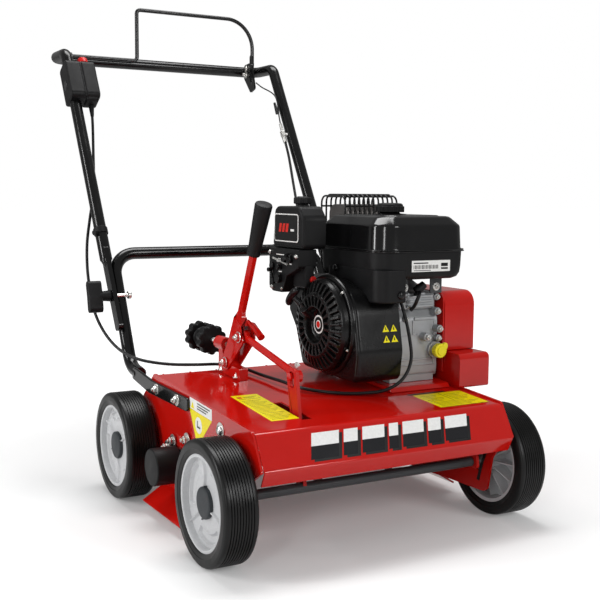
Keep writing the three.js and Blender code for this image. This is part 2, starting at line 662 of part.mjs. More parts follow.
function idlerPulley() {
  const half = BELT_WIDTH / 2 + 1;
  const bore = 4 + GAP;
  const profile = [
    [bore, -half], [IDLER_R + 2, -half], [IDLER_R + 2, -half + 2], [IDLER_R, -half + 3], [IDLER_R, half - 3],
    [IDLER_R + 2, half - 2], [IDLER_R + 2, half], [bore, half], [bore, -half],
  ];
  return turned(profile, 'x', vec(BELT_X, IDLER.y, IDLER.z), 20);
}

add('crank_pulley', join(
  pulley(CRANK_PULLEY_R, BELT_X, CRANK, 3),
  bar(vec(COVER_IN - 12, CRANK.y, CRANK.z), vec(BELT_X + 12, CRANK.y, CRANK.z), 11),
), STEEL);
add('drive_belt', driveBelt(), RUBBER);
add('belt_backplate', beltBackplate(), RED);
add('belt_cover_lower', lowerCover(), RED);
add('belt_cover_upper', upperCover(), RED);
add('tensioner_arm', tensionerArm(), STEEL);
add('idler_pulley', idlerPulley(), STEEL);

// ---------------------------------------------------------------- rear flap
const FLAP_HINGE = { y: 364, z: 229 };

/** A sloping sheet that hangs from a rod and closes the rear outlet. */
function rearFlap() {
  const { y, z } = FLAP_HINGE;
  const sheet = outline([
    [y - 3, z + 4], [y + 5, z + 6], [434, 172, 8], [452, 62], [449, 62], [431, 170, 6], [y - 3, z - 3],
  ]);
  const body = slab(sheet, 'x', -SIDE_IN + 2, SIDE_IN - 2);
  const roll = bar(vec(-SIDE_IN + 2, y, z), vec(SIDE_IN - 2, y, z), 7.5, 7.5, 12);
  const bore = bar(vec(-260, y, z), vec(260, y, z), 3.5 + GAP, 3.5 + GAP, 12);
  return cut(join(body, roll), bore);
}

function flapRod() {
  const { y, z } = FLAP_HINGE;
  return bar(vec(-SIDE_IN + GAP, y, z), vec(SIDE_IN - GAP, y, z), 3.5, 3.5, 12);
}

add('rear_flap', rearFlap(), RED);
add('flap_rod', flapRod(), STEEL);

// ---------------------------------------------------------------- engine
const TANK = { x0: 50, x1: 248, y0: 48, y1: 272, low: 425, seam: 475, top: 538 };

const BLOWER_END = 113.2; // where the fan housing meets the crankcase
const OIL_MOUTH = { x: 212, y: 96, z: 290 }; // end of the oil filler

function engineBlock() {
  const base = deckTop(104) + 9;
  const foot = outline([
    [104, base + GAP], [104, base + 12], [300, deckTop(300) + 21], [300, deckTop(300) + 9 + GAP],
  ]);
  const footPlate = slab(foot, 'x', BLOWER_END + GAP, 211);
  const crankcase = outline([
    [104, 240, 10], [104, 350, 16], [140, 396, 10], [196, 418, 4], [236, 418, 4], [286, 372, 20], [286, 250, 10],
  ]);
  const body = slab(crankcase, 'x', BLOWER_END + GAP, 218);
  const cylinder = outline([[236, 322, 4], [214, 396, 4], [312, 420, 6], [334, 348, 6]]);
  const barrel = slab(cylinder, 'x', 126, 208);
  const fins = [];
  for (let k = 0; k < 5; k += 1) {
    const y = 262 + 14 * k;
    fins.push(block(120, 214, y, y + 4, 336 + 3 * k, 416));
  }
  const { x, y: mouth, z } = OIL_MOUTH;
  const oilFiller = bar(vec(x, mouth, z), vec(x, 116, z), 11, 14, 14);
  const flange = turned([[0, 216], [34, 216], [34, 229], [12 + GAP, 231], [12 + GAP, 225], [0, 225]],
    'x', vec(0, CRANK.y, CRANK.z), 20);
  const shaftRoom = bar(vec(224, CRANK.y, CRANK.z), vec(240, CRANK.y, CRANK.z), 12);
  return cut(join(footPlate, body, barrel, oilFiller, flange, ...fins), shaftRoom);
}

function blowerHousing() {
  const side = outline([
    [64, 300, 40], [72, 244, 18], [264, 250, 18], [292, 320, 14], [318, 352, 8], [318, 421, 12], [160, 421, 20],
    [84, 400, 60],
  ]);
  const shell = slab(side, 'x', 20, BLOWER_END, 3);
  const step = turned([[0, -5.5], [96, -5.5], [100, -1], [100, 2], [0, 2]], 'x', vec(20, CRANK.y, CRANK.z), 24);
  return join(shell, step);
}

/** The recoil starter: a domed cover with radial slots and a sunk centre. */
function recoilCover() {
  const face = 14 - GAP;
  const profile = [
    [0, face - 8], [30, face - 8], [33, face - 24], [56, face - 24], [78, face - 16], [84, face - 8],
    [84, face], [0, face],
  ];
  const cover = turned(profile, 'x', vec(0, CRANK.y, CRANK.z), 24);
  const slotCount = 9;
  const slots = [];
  for (let k = 0; k < slotCount; k += 1) {
    const slot = new THREE.BoxGeometry(9, 26, 6);
    slot.translate(face - 24, 60, 0);
    slot.applyMatrix4(new THREE.Matrix4().makeRotationX((2 * Math.PI * k) / slotCount));
    slot.translate(0, CRANK.y, CRANK.z);
    slots.push(solid(slot));
  }
  const guide = bar(vec(8, 200, 350), vec(-13, 199, 368), 9);
  return join(cut(cover, ...slots), guide);
}

const PULL = vec(-0.62, 0.4, 0.675).normalize(); // the way the starter grip is pulled
const GRIP_START = vec(-20, 199, 377);

function starterGrip() {
  const stem = bar(GRIP_START, GRIP_START.clone().addScaledVector(PULL, 20), 6);
  const centre = GRIP_START.clone().addScaledVector(PULL, 22);
  const across = vec(0, 0.762, -0.647);
  const end = (distance) => centre.clone().addScaledVector(across, distance);
  return join(stem, bar(end(-24), end(24), 7.5));
}

function fuelTank() {
  const { x0, x1, y0, y1, low, seam, top } = TANK;
  const plan = (inset, radius) => outline([
    [x0 + inset, y0 + inset, radius], [x1 - inset, y0 + inset, radius],
    [x1 - inset, y1 - inset, radius], [x0 + inset, y1 - inset, radius],
  ]);
  const [flangeTop, bevel, sunk] = [seam + 5, 14, 8];
  const pan = slab(plan(6, 20), 'z', low + GAP, seam);
  const flange = slab(plan(0, 22), 'z', seam, flangeTop);
  const shoulder = new THREE.ExtrudeGeometry(plan(18, 16), {
    depth: top - flangeTop - bevel - sunk,
    bevelEnabled: true,
    bevelThickness: bevel,
    bevelSize: bevel,
    bevelSegments: 2,
    curveSegments: 2,
  });
  shoulder.translate(0, 0, flangeTop + sunk);
  const upper = join(slab(plan(5, 20), 'z', flangeTop, seam + 24), solid(shoulder));
  return join(pan, flange, cut(upper, block(0, 300, 0, 400, 400, flangeTop - 1)));
}

const TANK_CAP = { x: 152, y: 168, neck: 5 };

function tankCap() {
  const profile = [[0, 0], [24, 0], [27, 3], [27, 14], [24, 17], [0, 17]];
  return turned(profile, 'z', vec(TANK_CAP.x, TANK_CAP.y, TANK.top + TANK_CAP.neck + GAP), 20);
}

function tankNeck() {
  const { x, y, neck } = TANK_CAP;
  return bar(vec(x, y, TANK.top - 3), vec(x, y, TANK.top + neck), 18);
}

const FILTER_TOP = 553;

/** The air cleaner cover, a deep box with rounded edges beside the tank. */
function airCleaner() {
  const side = outline([
    [195, 475, 10], [195, 533, 16], [213, FILTER_TOP, 14], [307, FILTER_TOP, 12], [315, 475, 10],
  ]);
  return slab(side, 'x', -18, 30, 3);
}

function filterKnob() {
  const profile = [[0, 0], [9, 0], [9, 4], [17, 5], [17, 16], [14, 18], [0, 18]];
  return turned(profile, 'z', vec(6, 240, FILTER_TOP + GAP), 14);
}

const PANEL_X = -24; // outer face of the control panel

/** The carburettor with its control plate, under the air cleaner. */
function carburettor() {
  const side = outline([
    [200, 442, 6], [200, 474.6, 2], [315, 474.6, 2], [315, 400, 8], [300, 392, 8], [262, 392, 6], [246, 424, 6],
  ]);
  const plate = slab(side, 'x', PANEL_X, 14);
  return cut(plate, bar(vec(-60, CRANK.y, CRANK.z), vec(60, CRANK.y, CRANK.z), 102, 102, 24));
}

/** A small control lever on the carburettor's outer face, turned about X. */
function controlLever(y, z, length, tilt) {
  const x = PANEL_X - GAP;
  const hub = bar(vec(x - 5, y, z), vec(x, y, z), 6);
  const tip = [y + length * Math.sin(tilt), z + length * Math.cos(tilt)];
  const blade = bar(vec(x - 3, y, z), vec(x - 3, ...tip), 2.6, 2.2, 8);
  return join(hub, blade, bar(vec(x - 10, ...tip), vec(x - 1, ...tip), 4, 4, 8));
}

function muffler() {
  const side = outline([[300, 446, 14], [300, 556, 18], [372, 556, 18], [372, 446, 14]]);
  const can = slab(side, 'x', 142, 244);
  return join(can, bar(vec(170, 314, 424.5), vec(170, 314, 450), 11));
}

/** The guard over the muffler: a slotted hood open below. */
function mufflerGuard() {
  const [left, right, top] = [130, 256, 577];
  const side = outline([[291, 436, 3], [291, top, 16], [386, top, 20], [386, 436, 3]]);
  const inner = outline([[293.5, 430], [293.5, top - 2.5, 14], [383.5, top - 2.5, 18], [383.5, 430]]);
  const hood = cut(slab(side, 'x', left, right), slab(inner, 'x', left + 2.5, right - 2.5));
  const slots = [];
  const count = 4;
  const pitch = (right - left - 6) / count;
  for (let k = 0; k < count; k += 1) {
    const x = left + 10 + pitch * k;
    slots.push(block(x, x + 16, 300, 376, top - 10, top + 10));
    slots.push(block(x, x + 16, 378, 396, 452, top - 14));
  }
  return cut(hood, ...slots);
}

function oilCap() {
  const profile = [[0, 0], [11, 0], [11, -4], [13, -5], [13, -14], [10, -17], [0, -17]];
  return turned(profile, 'y', vec(OIL_MOUTH.x, OIL_MOUTH.y - GAP, OIL_MOUTH.z), 14);
}

add('engine_block', engineBlock(), ALUMINIUM);
add('blower_housing', blowerHousing(), BLACK_PLASTIC);
add('recoil_cover', recoilCover(), BLACK_PLASTIC);
add('starter_grip', starterGrip(), BLACK_PLASTIC);
add('fuel_tank', join(fuelTank(), tankNeck()), BLACK_PAINT);
add('fuel_cap', tankCap(), BLACK_PLASTIC);
add('air_cleaner_cover', airCleaner(), BLACK_PLASTIC);
add('air_cleaner_knob', filterKnob(), BLACK_PLASTIC);
add('carburettor', carburettor(), BLACK_PLASTIC);
add('choke_lever', controlLever(252, 452, 22, radians(-60)), BLACK_PLASTIC);
add('throttle_lever', controlLever(294, 412, 22, radians(20)), BLACK_PLASTIC);
add('muffler', muffler(), STEEL);
add('muffler_guard', mufflerGuard(), BLACK_PAINT);
add('oil_cap', oilCap(), YELLOW);

// ---------------------------------------------------------------- handle
/** Point on an upper leg's axis at a height. */
const legPoint = (x, z) => vec(x, FOLD.y - 4 + (z - FOLD.z) * LEG_SLOPE, z);

/** The lower handle: a U of tube with flat feet on the outside of the side plates. */
function lowerHandle() {
  const x = LOWER_X;
  const elbow = vec(x, 492, 234);
  const corner = vec(x, 597, 451);
  const flip = (p) => p.clone().setX(-p.x);
  const end = vec(x, 440, 227);
  const bent = tube([end, elbow, corner, flip(corner), flip(elbow), flip(end)], TUBE_R, 48, 4, 10);
  const foot = (front) => slab(outline([
    [front, 202, 8], [front, 226, 8], [352, 229, 10], [452, 240, 6], [456, 216, 6], [366, 203, 10],
  ]), 'x', SIDE_OUT + GAP, SIDE_OUT + 6);
  const head = [[0, -2], [10, -2], [10, 2], [6, 6], [0, 7]];
  const footBolt = (y, z) => turned(head, 'x', vec(SIDE_OUT + 7, y, z), 8);
  const left = join(foot(182), footBolt(325, 217), footBolt(228, 215));
  const right = join(foot(310), footBolt(350, 217));
  const hole = bar(vec(-300, FOLD.y, FOLD.z), vec(300, FOLD.y, FOLD.z), 4 + GAP);
  return cut(join(bent, mirrored(left), right), hole);
}

/** The upper handle: two legs, a crossbar behind them and flattened lower ends for the fold bolts. */
function upperHandle() {
  const x = UPPER_X;
  const flip = (p) => p.clone().setX(-p.x);
  const foot = legPoint(x, 440);
  const shoulder = legPoint(x, GRIP_BAR.z);
  const corner = vec(x, GRIP_BAR.y, GRIP_BAR.z);
  const bent = tube(
    [foot, shoulder, corner, flip(corner), flip(shoulder), flip(foot)], TUBE_R, 26, 3, 10,
  );
  const lean = (z, across) => [legPoint(0, z).y + across, z];
  const flat = slab(outline([
    [...lean(306, -12), 6], [...lean(462, -13), 4], [...lean(462, 13), 4], [...lean(306, 12), 6],
  ]), 'x', x - 4.5, x + 4.5);
  const hole = bar(vec(-300, FOLD.y, FOLD.z), vec(300, FOLD.y, FOLD.z), 4 + GAP);
  return cut(join(bent, flat, mirrored(flat), bailBracket(), bailLug()), hole);
}

/** The fold bolt with its winged knob, on the outside of the handle. */
function wingKnob() {
  const { y, z } = FOLD;
  const bolt = bar(vec(LOWER_X - TUBE_R - 8, y, z), vec(UPPER_X + 12, y, z), 4);
  const head = bar(vec(LOWER_X - TUBE_R - 8, y, z), vec(LOWER_X - TUBE_R - GAP - 0.4, y, z), 8, 8, 12);
  const hub = bar(vec(UPPER_X + 4.5 + GAP, y, z), vec(UPPER_X + 30, y, z), 11, 9);
  const wing = outline([
    [y - 14, z - 30, 8], [y + 2, z - 32, 8], [y + 11, z, 20], [y + 18, z + 28, 8], [y, z + 30, 8],
    [y - 10, z, 20],
  ]);
  return join(bolt, head, hub, slab(wing, 'x', UPPER_X + 22, UPPER_X + 52, 3));
}

/** The bail: a sprung wire loop that is squeezed down against the crossbar to engage the drive. */
function bail() {
  const { y, z } = BAIL_PIVOT;
  const top = 1004;
  const [inner, outer] = [-66, 238];
  const big = 70;
  const arc = vec(outer, y, top);
  const upper = tube([vec(inner, y, z), vec(inner, y, top), vec(100, y, top)], BAIL_R, 9);
  const side = tube([vec(100, y, top), arc, vec(outer, y, z)], BAIL_R, big, 5);
  const run = tube([vec(-236, y, z), vec(inner, y, z), vec(inner, y, z + 40)], BAIL_R, 9);
  const lever = slab(outline([[y - 9, z - 14, 5], [y - 9, z + 34, 6], [y + 5, z + 34, 6], [y + 5, z - 14, 5]]),
    'x', outer - 5, outer - 1.5);
  const pin = bar(vec(218, y, z), vec(outer, y, z), BAIL_R);
  return join(run, cut(upper, block(-100, 0, 800, 1000, 800, z + 12)), side, lever, pin);
}

/** The bail's pivot plate at the right end of the crossbar. */
function bailBracket() {
  const { y, z } = BAIL_PIVOT;
  const side = outline([
    [y - 44, z - 52, 4], [y - 24, z + 14, 8], [y + 16, z + 10, 6], [y + 16, z - 22, 6], [y - 20, z - 60, 4],
  ]);
  roundHole(side, y, z, BAIL_R + GAP);
  return slab(side, 'x', 223, 227);
}

/** The small lug that holds the bail's left end. */
function bailLug() {
  const { y, z } = BAIL_PIVOT;
  const side = outline([[y - 9, z - 9, 6], [y - 9, z + 9, 6], [y + 16, z + 4, 2], [y + 16, z - 14, 2]]);
  roundHole(side, y, z, BAIL_R + GAP);
  return slab(side, 'x', -228, -224);
}

/** A point moved along the legs of the upper handle. */
function alongLeg(point, distance) {
  return point.clone().addScaledVector(vec(0, LEG_SLOPE, 1).normalize(), distance);
}

const BUTTON_SEAT = legPoint(-UPPER_X + 34, 852);

function switchBox() {
  const low = legPoint(0, 768);
  const high = legPoint(0, 850);
  const side = outline([
    [low.y - 26, low.z + 26 * LEG_SLOPE, 6], [high.y - 26, high.z + 26 * LEG_SLOPE, 6],
    [high.y + 18, high.z - 18 * LEG_SLOPE, 6], [low.y + 18, low.z - 18 * LEG_SLOPE, 6],
  ]);
  const box = slab(side, 'x', -UPPER_X - 16, -UPPER_X + 50);
  const legRoom = tube([legPoint(-UPPER_X, 740), legPoint(-UPPER_X, 874)], TUBE_R + 1.5, 1);
  const lowerBulge = slab(outline([
    [low.y - 20, 774, 6], [low.y - 20, 790, 4], [low.y + 14, 776, 4], [low.y + 14, 752, 6],
  ]), 'x', -UPPER_X + 20, -UPPER_X + 46);
  const buttonBore = bar(alongLeg(BUTTON_SEAT, -14), alongLeg(BUTTON_SEAT, 10), 6);
  return cut(join(box, lowerBulge), legRoom, buttonBore);
}

function stopButton() {
  return join(
    bar(alongLeg(BUTTON_SEAT, -8), alongLeg(BUTTON_SEAT, 9), 4.5),
    bar(alongLeg(BUTTON_SEAT, 6), alongLeg(BUTTON_SEAT, 14), 9, 9, 14),
  );
}

/** The clutch cable's adjuster, clamped to the right leg. */
function cableAdjuster() {
  const at = legPoint(UPPER_X - TUBE_R - 9, 716);
  const barrel = bar(alongLeg(at, -22), alongLeg(at, 30), 4);
  const nut = bar(alongLeg(at, -6), alongLeg(at, 2), 7, 7, 6);
  const clamp = bar(at, at.clone().add(vec(9 - GAP, 0, 0)), 5, 5, 10);
  return join(barrel, nut, cut(clamp, tube([legPoint(UPPER_X, 690), legPoint(UPPER_X, 740)], TUBE_R + 1.5, 1)));
}

// ---------------------------------------------------------------- cables
const CABLE_R = 3;

/** The engine stop lead on the upper handle: out of the switch box, behind the leg, past the fold. */
const STOP_LEAD_UPPER = [
  vec(-224, 770, 758), vec(-228, 752, 724), vec(-237, 722, 660), vec(-246, 694, 605), vec(-256, 672, 560),
  vec(-269, 652, 520), vec(-283, 628, 470), vec(-291, 602, 418), vec(-291, 587, 380),
];

/** The same lead on the chassis: a slack loop to the deck, across it and up to the engine. */
const STOP_LEAD_LOWER = [
  vec(-291, 586, 377), vec(-288, 568, 336), vec(-282, 538, 304), vec(-272, 508, 280), vec(-259, 480, 264),
  vec(-240, 446, 254), vec(-212, 417, 249), vec(-185, 398, 247), vec(-150, 372, 248), vec(-108, 356, 248),
  vec(-84, 318, 246), vec(-72, 250, 241), vec(-64, 190, 239), vec(-50, 138, 234), vec(-14, 104, 229),
  vec(34, 76, 228), vec(72, 55, 234), vec(104, 49, 252), vec(126, 56, 282), vec(133, 72, 322),
  vec(133, 92, 368), vec(128, 110, 408),
];

/** The clutch cable: from its adjuster down the right leg, in front of the lower crossbar. */
const CLUTCH_CABLE_UPPER = [
  vec(236.5, 733.6, 697.6), vec(235, 714, 664), vec(224, 668, 592), vec(210, 612, 512), vec(203, 574, 456),
  vec(201, 550, 404),
];
const CLUTCH_CABLE_LOWER = [
  vec(201, 549, 401), vec(203, 512, 350), vec(212, 440, 314), vec(224, 362, 304), vec(229, 303, 302),
];

add('lower_handle', lowerHandle(), BLACK_PAINT);
add('upper_handle', upperHandle(), BLACK_PAINT);
add('wing_knob_right', wingKnob(), BLACK_PLASTIC);
add('wing_knob_left', mirrored(wingKnob()), BLACK_PLASTIC);
add('bail', bail(), BLACK_PAINT);
add('switch_box', switchBox(), BLACK_PLASTIC);
add('stop_button', stopButton(), BUTTON_RED);
add('stop_lead_upper', cable(STOP_LEAD_UPPER, CABLE_R, 12, 6), RUBBER);
add('stop_lead_lower', cable(STOP_LEAD_LOWER, CABLE_R, 32, 6), RUBBER);
add('clutch_cable_upper', join(cable(CLUTCH_CABLE_UPPER, CABLE_R, 10, 6), cableAdjuster()), RUBBER);
add('clutch_cable_lower', cable(CLUTCH_CABLE_LOWER, CABLE_R, 8, 6), RUBBER);

export default dethatcher;
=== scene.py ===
"""Petrol lawn dethatcher (scarifier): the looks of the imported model.

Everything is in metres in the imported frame's axes: +X is the belt side, -Y the front, +Z up.
Lists of sizes and places inside the builders are in millimetres, with y counted back from the front
wheels' axis; at() and the shape helpers turn them into the frame's metres.
"""
from math import atan2, copysign, cos, exp, hypot, pi, radians, degrees, sin, sqrt, tan

import bmesh
import bpy
from mathutils import Matrix, Vector
from mathutils.geometry import tessellate_polygon


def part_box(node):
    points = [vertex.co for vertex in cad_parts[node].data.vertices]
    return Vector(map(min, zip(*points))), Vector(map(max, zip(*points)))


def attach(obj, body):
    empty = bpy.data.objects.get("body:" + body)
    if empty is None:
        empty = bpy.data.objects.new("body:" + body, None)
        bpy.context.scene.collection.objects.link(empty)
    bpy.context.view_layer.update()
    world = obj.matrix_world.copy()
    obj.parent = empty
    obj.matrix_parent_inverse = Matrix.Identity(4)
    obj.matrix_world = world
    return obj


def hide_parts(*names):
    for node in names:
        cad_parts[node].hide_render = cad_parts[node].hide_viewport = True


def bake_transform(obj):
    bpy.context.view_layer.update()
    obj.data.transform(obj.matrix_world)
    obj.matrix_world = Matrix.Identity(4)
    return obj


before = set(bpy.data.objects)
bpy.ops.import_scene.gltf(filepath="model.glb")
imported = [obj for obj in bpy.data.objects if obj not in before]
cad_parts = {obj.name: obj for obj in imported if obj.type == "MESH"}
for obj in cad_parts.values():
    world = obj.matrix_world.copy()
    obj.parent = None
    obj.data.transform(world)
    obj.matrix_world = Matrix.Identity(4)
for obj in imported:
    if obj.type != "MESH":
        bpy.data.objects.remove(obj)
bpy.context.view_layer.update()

MM = 0.001
RIGHT, FORWARD, UP = Vector((1, 0, 0)), Vector((0, -1, 0)), Vector((0, 0, 1))
WHITE = (1, 1, 1, 1)


def middle(node):
    """The middle of a CAD node's box."""
    low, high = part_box(node)
    return (low + high) / 2


FRONT_Y = middle("tyre_front_left").y
REAR_Y = (middle("tyre_rear_left").y - FRONT_Y) / MM  # rear axle, behind the front one
WHEEL_R = middle("tyre_front_left").z / MM


def at(x, y, z):
    """A point given in millimetres, y counted back from the front wheels' axis."""
    return Vector((x * MM, FRONT_Y + y * MM, z * MM))


def placed(name, data):
    """A new object in the scene."""
    made = bpy.data.objects.new(name, data)
    bpy.context.scene.collection.objects.link(made)
    return made


def node_tree(owner):
    """The nodes and links of a material or a world."""
    owner.use_nodes = True
    return owner.node_tree.nodes, owner.node_tree.links


def put(node, **values):
    """Sets sockets that hold one value; an underscore in a name stands for a space."""
    for socket, value in values.items():
        node.inputs[socket.replace("_", " ")].default_value = value


# ---------------------------------------------------------------- camera, floor and light
def make_camera():
    """The photograph's viewpoint: from the front left, a little above the deck."""
    yaw, pitch, roll = 0.512, 0.1049, 0.0073
    data = bpy.data.cameras.new("camera")
    data.lens, data.sensor_width = 60.22, 36.0
    data.clip_end = 100
    forward = Vector((sin(yaw) * cos(pitch), cos(yaw) * cos(pitch), -sin(pitch)))
    level = Vector((cos(yaw), -sin(yaw), 0))
    upright = level.cross(forward)
    right = level * cos(roll) + upright * sin(roll)
    up = upright * cos(roll) - level * sin(roll)
    turn = Matrix((right, up, -forward)).transposed()
    camera = placed("camera", data)
    camera.matrix_world = Matrix.Translation((-0.91174, -1.80965, 0.57498)) @ turn.to_4x4()
    bpy.context.scene.camera = camera


def area_light(name, place, target, size, power):
    """A soft rectangular lamp that faces a point."""
    data = bpy.data.lights.new(name, "AREA")
    data.shape, data.size, data.size_y, data.energy = "RECTANGLE", size[0], size[1], power
    lamp = placed(name, data)
    lamp.location = place
    lamp.rotation_mode = "QUATERNION"
    lamp.rotation_quaternion = (Vector(target) - Vector(place)).to_track_quat("-Z", "Y")


def make_studio():
    """A white floor, an even sky and softboxes."""
    mesh = bpy.data.meshes.new("floor")
    reach = 30
    mesh.from_pydata([(-reach, -reach, 0), (reach, -reach, 0), (reach, reach, 0), (-reach, reach, 0)],
                     [], [(0, 1, 2, 3)])
    mesh.materials.append(make_floor_material())
    placed("floor", mesh)
    make_sky()
    bpy.context.scene.view_settings.view_transform = "Standard"
    area_light("top_box", (0.2, 0.4, 2.6), (0, 0, 0.3), (1.8, 1.0), 44)
    area_light("left_box", (-2.4, 0.2, 1.2), (0, 0, 0.5), (0.3, 2.0), 30)
    area_light("front_box", (1.0, -3.0, 1.5), (0, 0, 0.35), (0.9, 0.9), 30)
    area_light("side_box", (-1.9, -2.2, 1.1), (0, 0, 0.4), (0.3, 1.2), 12)


def make_floor_material():
    """White, and glowing to the camera only, dimly near the machine as a painted shade round it and fully
    where it runs out to the backdrop.
    """
    material = bpy.data.materials.new("floor")
    nodes, links = node_tree(material)
    shader = nodes["Principled BSDF"]
    put(shader, Base_Color=(0.8, 0.8, 0.8, 1), Roughness=0.9, Specular_IOR_Level=0.1, Emission_Color=WHITE)
    place, away = nodes.new("ShaderNodeTexCoord"), nodes.new("ShaderNodeVectorMath")
    away.operation = "LENGTH"
    # Glow that grows with the distance from the middle; its dimness near the machine is painted shade.
    glow_with_painted_shade = nodes.new("ShaderNodeMapRange")
    put(glow_with_painted_shade, From_Min=0.4, From_Max=2.2, To_Min=0.1, To_Max=0.78)
    ray, seen = nodes.new("ShaderNodeLightPath"), nodes.new("ShaderNodeMath")
    seen.operation = "MULTIPLY"
    links.new(place.outputs["Object"], away.inputs[0])
    links.new(away.outputs["Value"], glow_with_painted_shade.inputs["Value"])
    links.new(glow_with_painted_shade.outputs["Result"], seen.inputs[0])
    links.new(ray.outputs["Is Camera Ray"], seen.inputs[1])
    links.new(seen.outputs["Value"], shader.inputs["Emission Strength"])
    return material


def make_sky():
    """A white backdrop to look at, which lights the machine more dimly."""
    world = bpy.data.worlds.new("studio")
    nodes, links = node_tree(world)
    lit, seen = nodes["Background"], nodes.new("ShaderNodeBackground")
    put(lit, Color=WHITE, Strength=0.29)
    put(seen, Color=WHITE, Strength=1.0)
    ray, mix = nodes.new("ShaderNodeLightPath"), nodes.new("ShaderNodeMixShader")
    links.new(ray.outputs["Is Camera Ray"], mix.inputs["Fac"])
    links.new(lit.outputs["Background"], mix.inputs[1])
    links.new(seen.outputs["Background"], mix.inputs[2])
    links.new(mix.outputs["Shader"], nodes["World Output"].inputs["Surface"])
    bpy.context.scene.world = world


# ---------------------------------------------------------------- shapes
AXES = {"x": lambda a, b, c: (c, a, b), "y": lambda a, b, c: (b, c, a), "z": lambda a, b, c: (a, b, c)}


def angles(count):
    """Equal steps once round."""
    return [2 * pi * k / count for k in range(count)]


def rounded(corners, steps=6):
    """A closed outline from corners (a, b, radius); a corner with a radius becomes an arc."""
    points = []
    for i, corner in enumerate(corners):
        here = Vector(corner[:2])
        radius = corner[2] if len(corner) > 2 else 0
        back = (Vector(corners[i - 1][:2]) - here).normalized()
        on = (Vector(corners[(i + 1) % len(corners)][:2]) - here).normalized()
        opening = back.angle(on)
        if radius <= 0 or opening > pi - 0.02:
            points.append(here)
            continue
        reach = radius / tan(opening / 2)
        centre = here + (back + on).normalized() * (radius / sin(opening / 2))
        start = here + back * reach - centre
        sweep = (pi - opening) * (1 if start.cross(here + on * reach - centre) > 0 else -1)
        points += [centre + Matrix.Rotation(sweep * k / steps, 2) @ start for k in range(steps + 1)]
    return points


def moved(origin, corners):
    """Corners of an outline that are given from an origin."""
    return [(origin[0] + a, origin[1] + b, radius) for a, b, radius in corners]


def circle(radius, sides, a, b):
    """Points round a circle."""
    return [Vector((a + radius * cos(angle), b + radius * sin(angle))) for angle in angles(sides)]


def meshed(points, faces, recalculated=True):
    """A new bmesh, with its faces turned outwards if they're recalculated."""
    bm = bmesh.new()
    verts = [bm.verts.new(p) for p in points]
    for face in faces:
        bm.faces.new([verts[i] for i in face])
    if recalculated:
        bmesh.ops.recalc_face_normals(bm, faces=bm.faces)
    return bm


def girdle(first, size):
    """The faces between a ring of points that starts at an index and the next ring."""
    rim = [(first + k, first + (k + 1) % size) for k in range(size)]
    return [(a, b, b + size, a + size) for a, b in rim]


def skinned(rings):
    """A closed mesh through rings with as many points each."""
    size, last = len(rings[0]), len(rings) - 1
    faces = [face for i in range(last) for face in girdle(i * size, size)]
    faces += [tuple(range(size)), tuple(last * size + k for k in range(size))]
    return meshed([p for ring in rings for p in ring], faces)


def slab(corners, axis, low, high, holes=(), steps=6):
    """An outline pushed along an axis; its plane is (y, z) for x, (z, x) for y and (x, y) for z."""
    loops = [rounded(corners, steps), *holes]
    flat = [p for loop in loops for p in loop]
    count = len(flat)
    place = AXES[axis]
    points = [at(*place(p[0], p[1], level)) for level in (low, high) for p in flat]
    if holes:
        caps = [tuple(t) for t in tessellate_polygon([[p.to_3d() for p in loop] for loop in loops])]
    else:
        caps = [tuple(range(count))]
    faces = caps + [tuple(i + count for i in cap) for cap in caps]
    first = 0
    for loop in loops:
        size = len(loop)
        for k in range(size):
            a, b = first + k, first + (k + 1) % size
            faces.append((a, b, b + count, a + count))
        first += size
    return meshed(points, faces)


def sided(corners, side, inner, outer, holes=(), steps=6):
    """A slab across X on the right (1) or the left (-1), between two distances from the middle."""
    return slab(corners, "x", *sorted((side * inner, side * outer)), holes, steps)


def block(x0, x1, y0, y1, z0, z1):
    """A box between two corners."""
    return slab([(x0, y0), (x1, y0), (x1, y1), (x0, y1)], "z", z0, z1)


def turned(profile, axis, centre, steps=72, side=1):
    """A profile of (radius, distance) turned about an axis through a centre; an open one ends on it."""
    place, origin = AXES[axis], at(*centre)
    points, rows = [], []
    for radius, distance in profile:
        ring = [Vector(place(radius * cos(a), radius * sin(a), distance * side)) for a in angles(steps)]
        ring = ring if radius > 1e-6 else ring[:1]
        rows.append(range(len(points), len(points) + len(ring)))
        points += [origin + p * MM for p in ring]
    pairs = list(zip(rows, rows[1:]))
    if len(rows[0]) > 1 and len(rows[-1]) > 1:
        pairs.append((rows[-1], rows[0]))
    faces = []
    for one, two in pairs:
        for k in range(steps):
            n = (k + 1) % steps
            corners = one[k % len(one)], one[n % len(one)], two[n % len(two)], two[k % len(two)]
            face = tuple(dict.fromkeys(corners))
            if len(face) > 2:
                faces.append(face)
    return meshed(points, faces)


def swept(path, radius, sides=20, taper=None):
    """A round section swept along a path of points in metres; taper gives the radius at each share of it."""
    count = len(path)
    tangents = [(path[min(i + 1, count - 1)] - path[max(i - 1, 0)]).normalized() for i in range(count)]
    across = tangents[0].orthogonal().normalized()
    rings = []
    for i, (centre, along) in enumerate(zip(path, tangents)):
        across = (across - along * across.dot(along)).normalized()
        other = along.cross(across)
        size = (taper(i / (count - 1)) if taper else radius) * MM
        rings.append([centre + (across * cos(a) + other * sin(a)) * size for a in angles(sides)])
    return skinned(rings)


def bent(corners, radius, steps=10):
    """A path in metres through corners given in millimetres, with arcs of one radius at each bend."""
    knots = [at(*c) for c in corners]
    size = radius * MM
    path = [knots[0]]
    for before, here, after in zip(knots, knots[1:], knots[2:]):
        into, out = (here - before).normalized(), (after - here).normalized()
        turn = into.angle(out)
        side = (out - into * into.dot(out)).normalized()
        start = here - into * (size * tan(turn / 2))
        for k in range(steps + 1):
            angle = turn * k / steps
            path.append(start + into * (size * sin(angle)) + side * (size * (1 - cos(angle))))
    return [*path, knots[-1]]


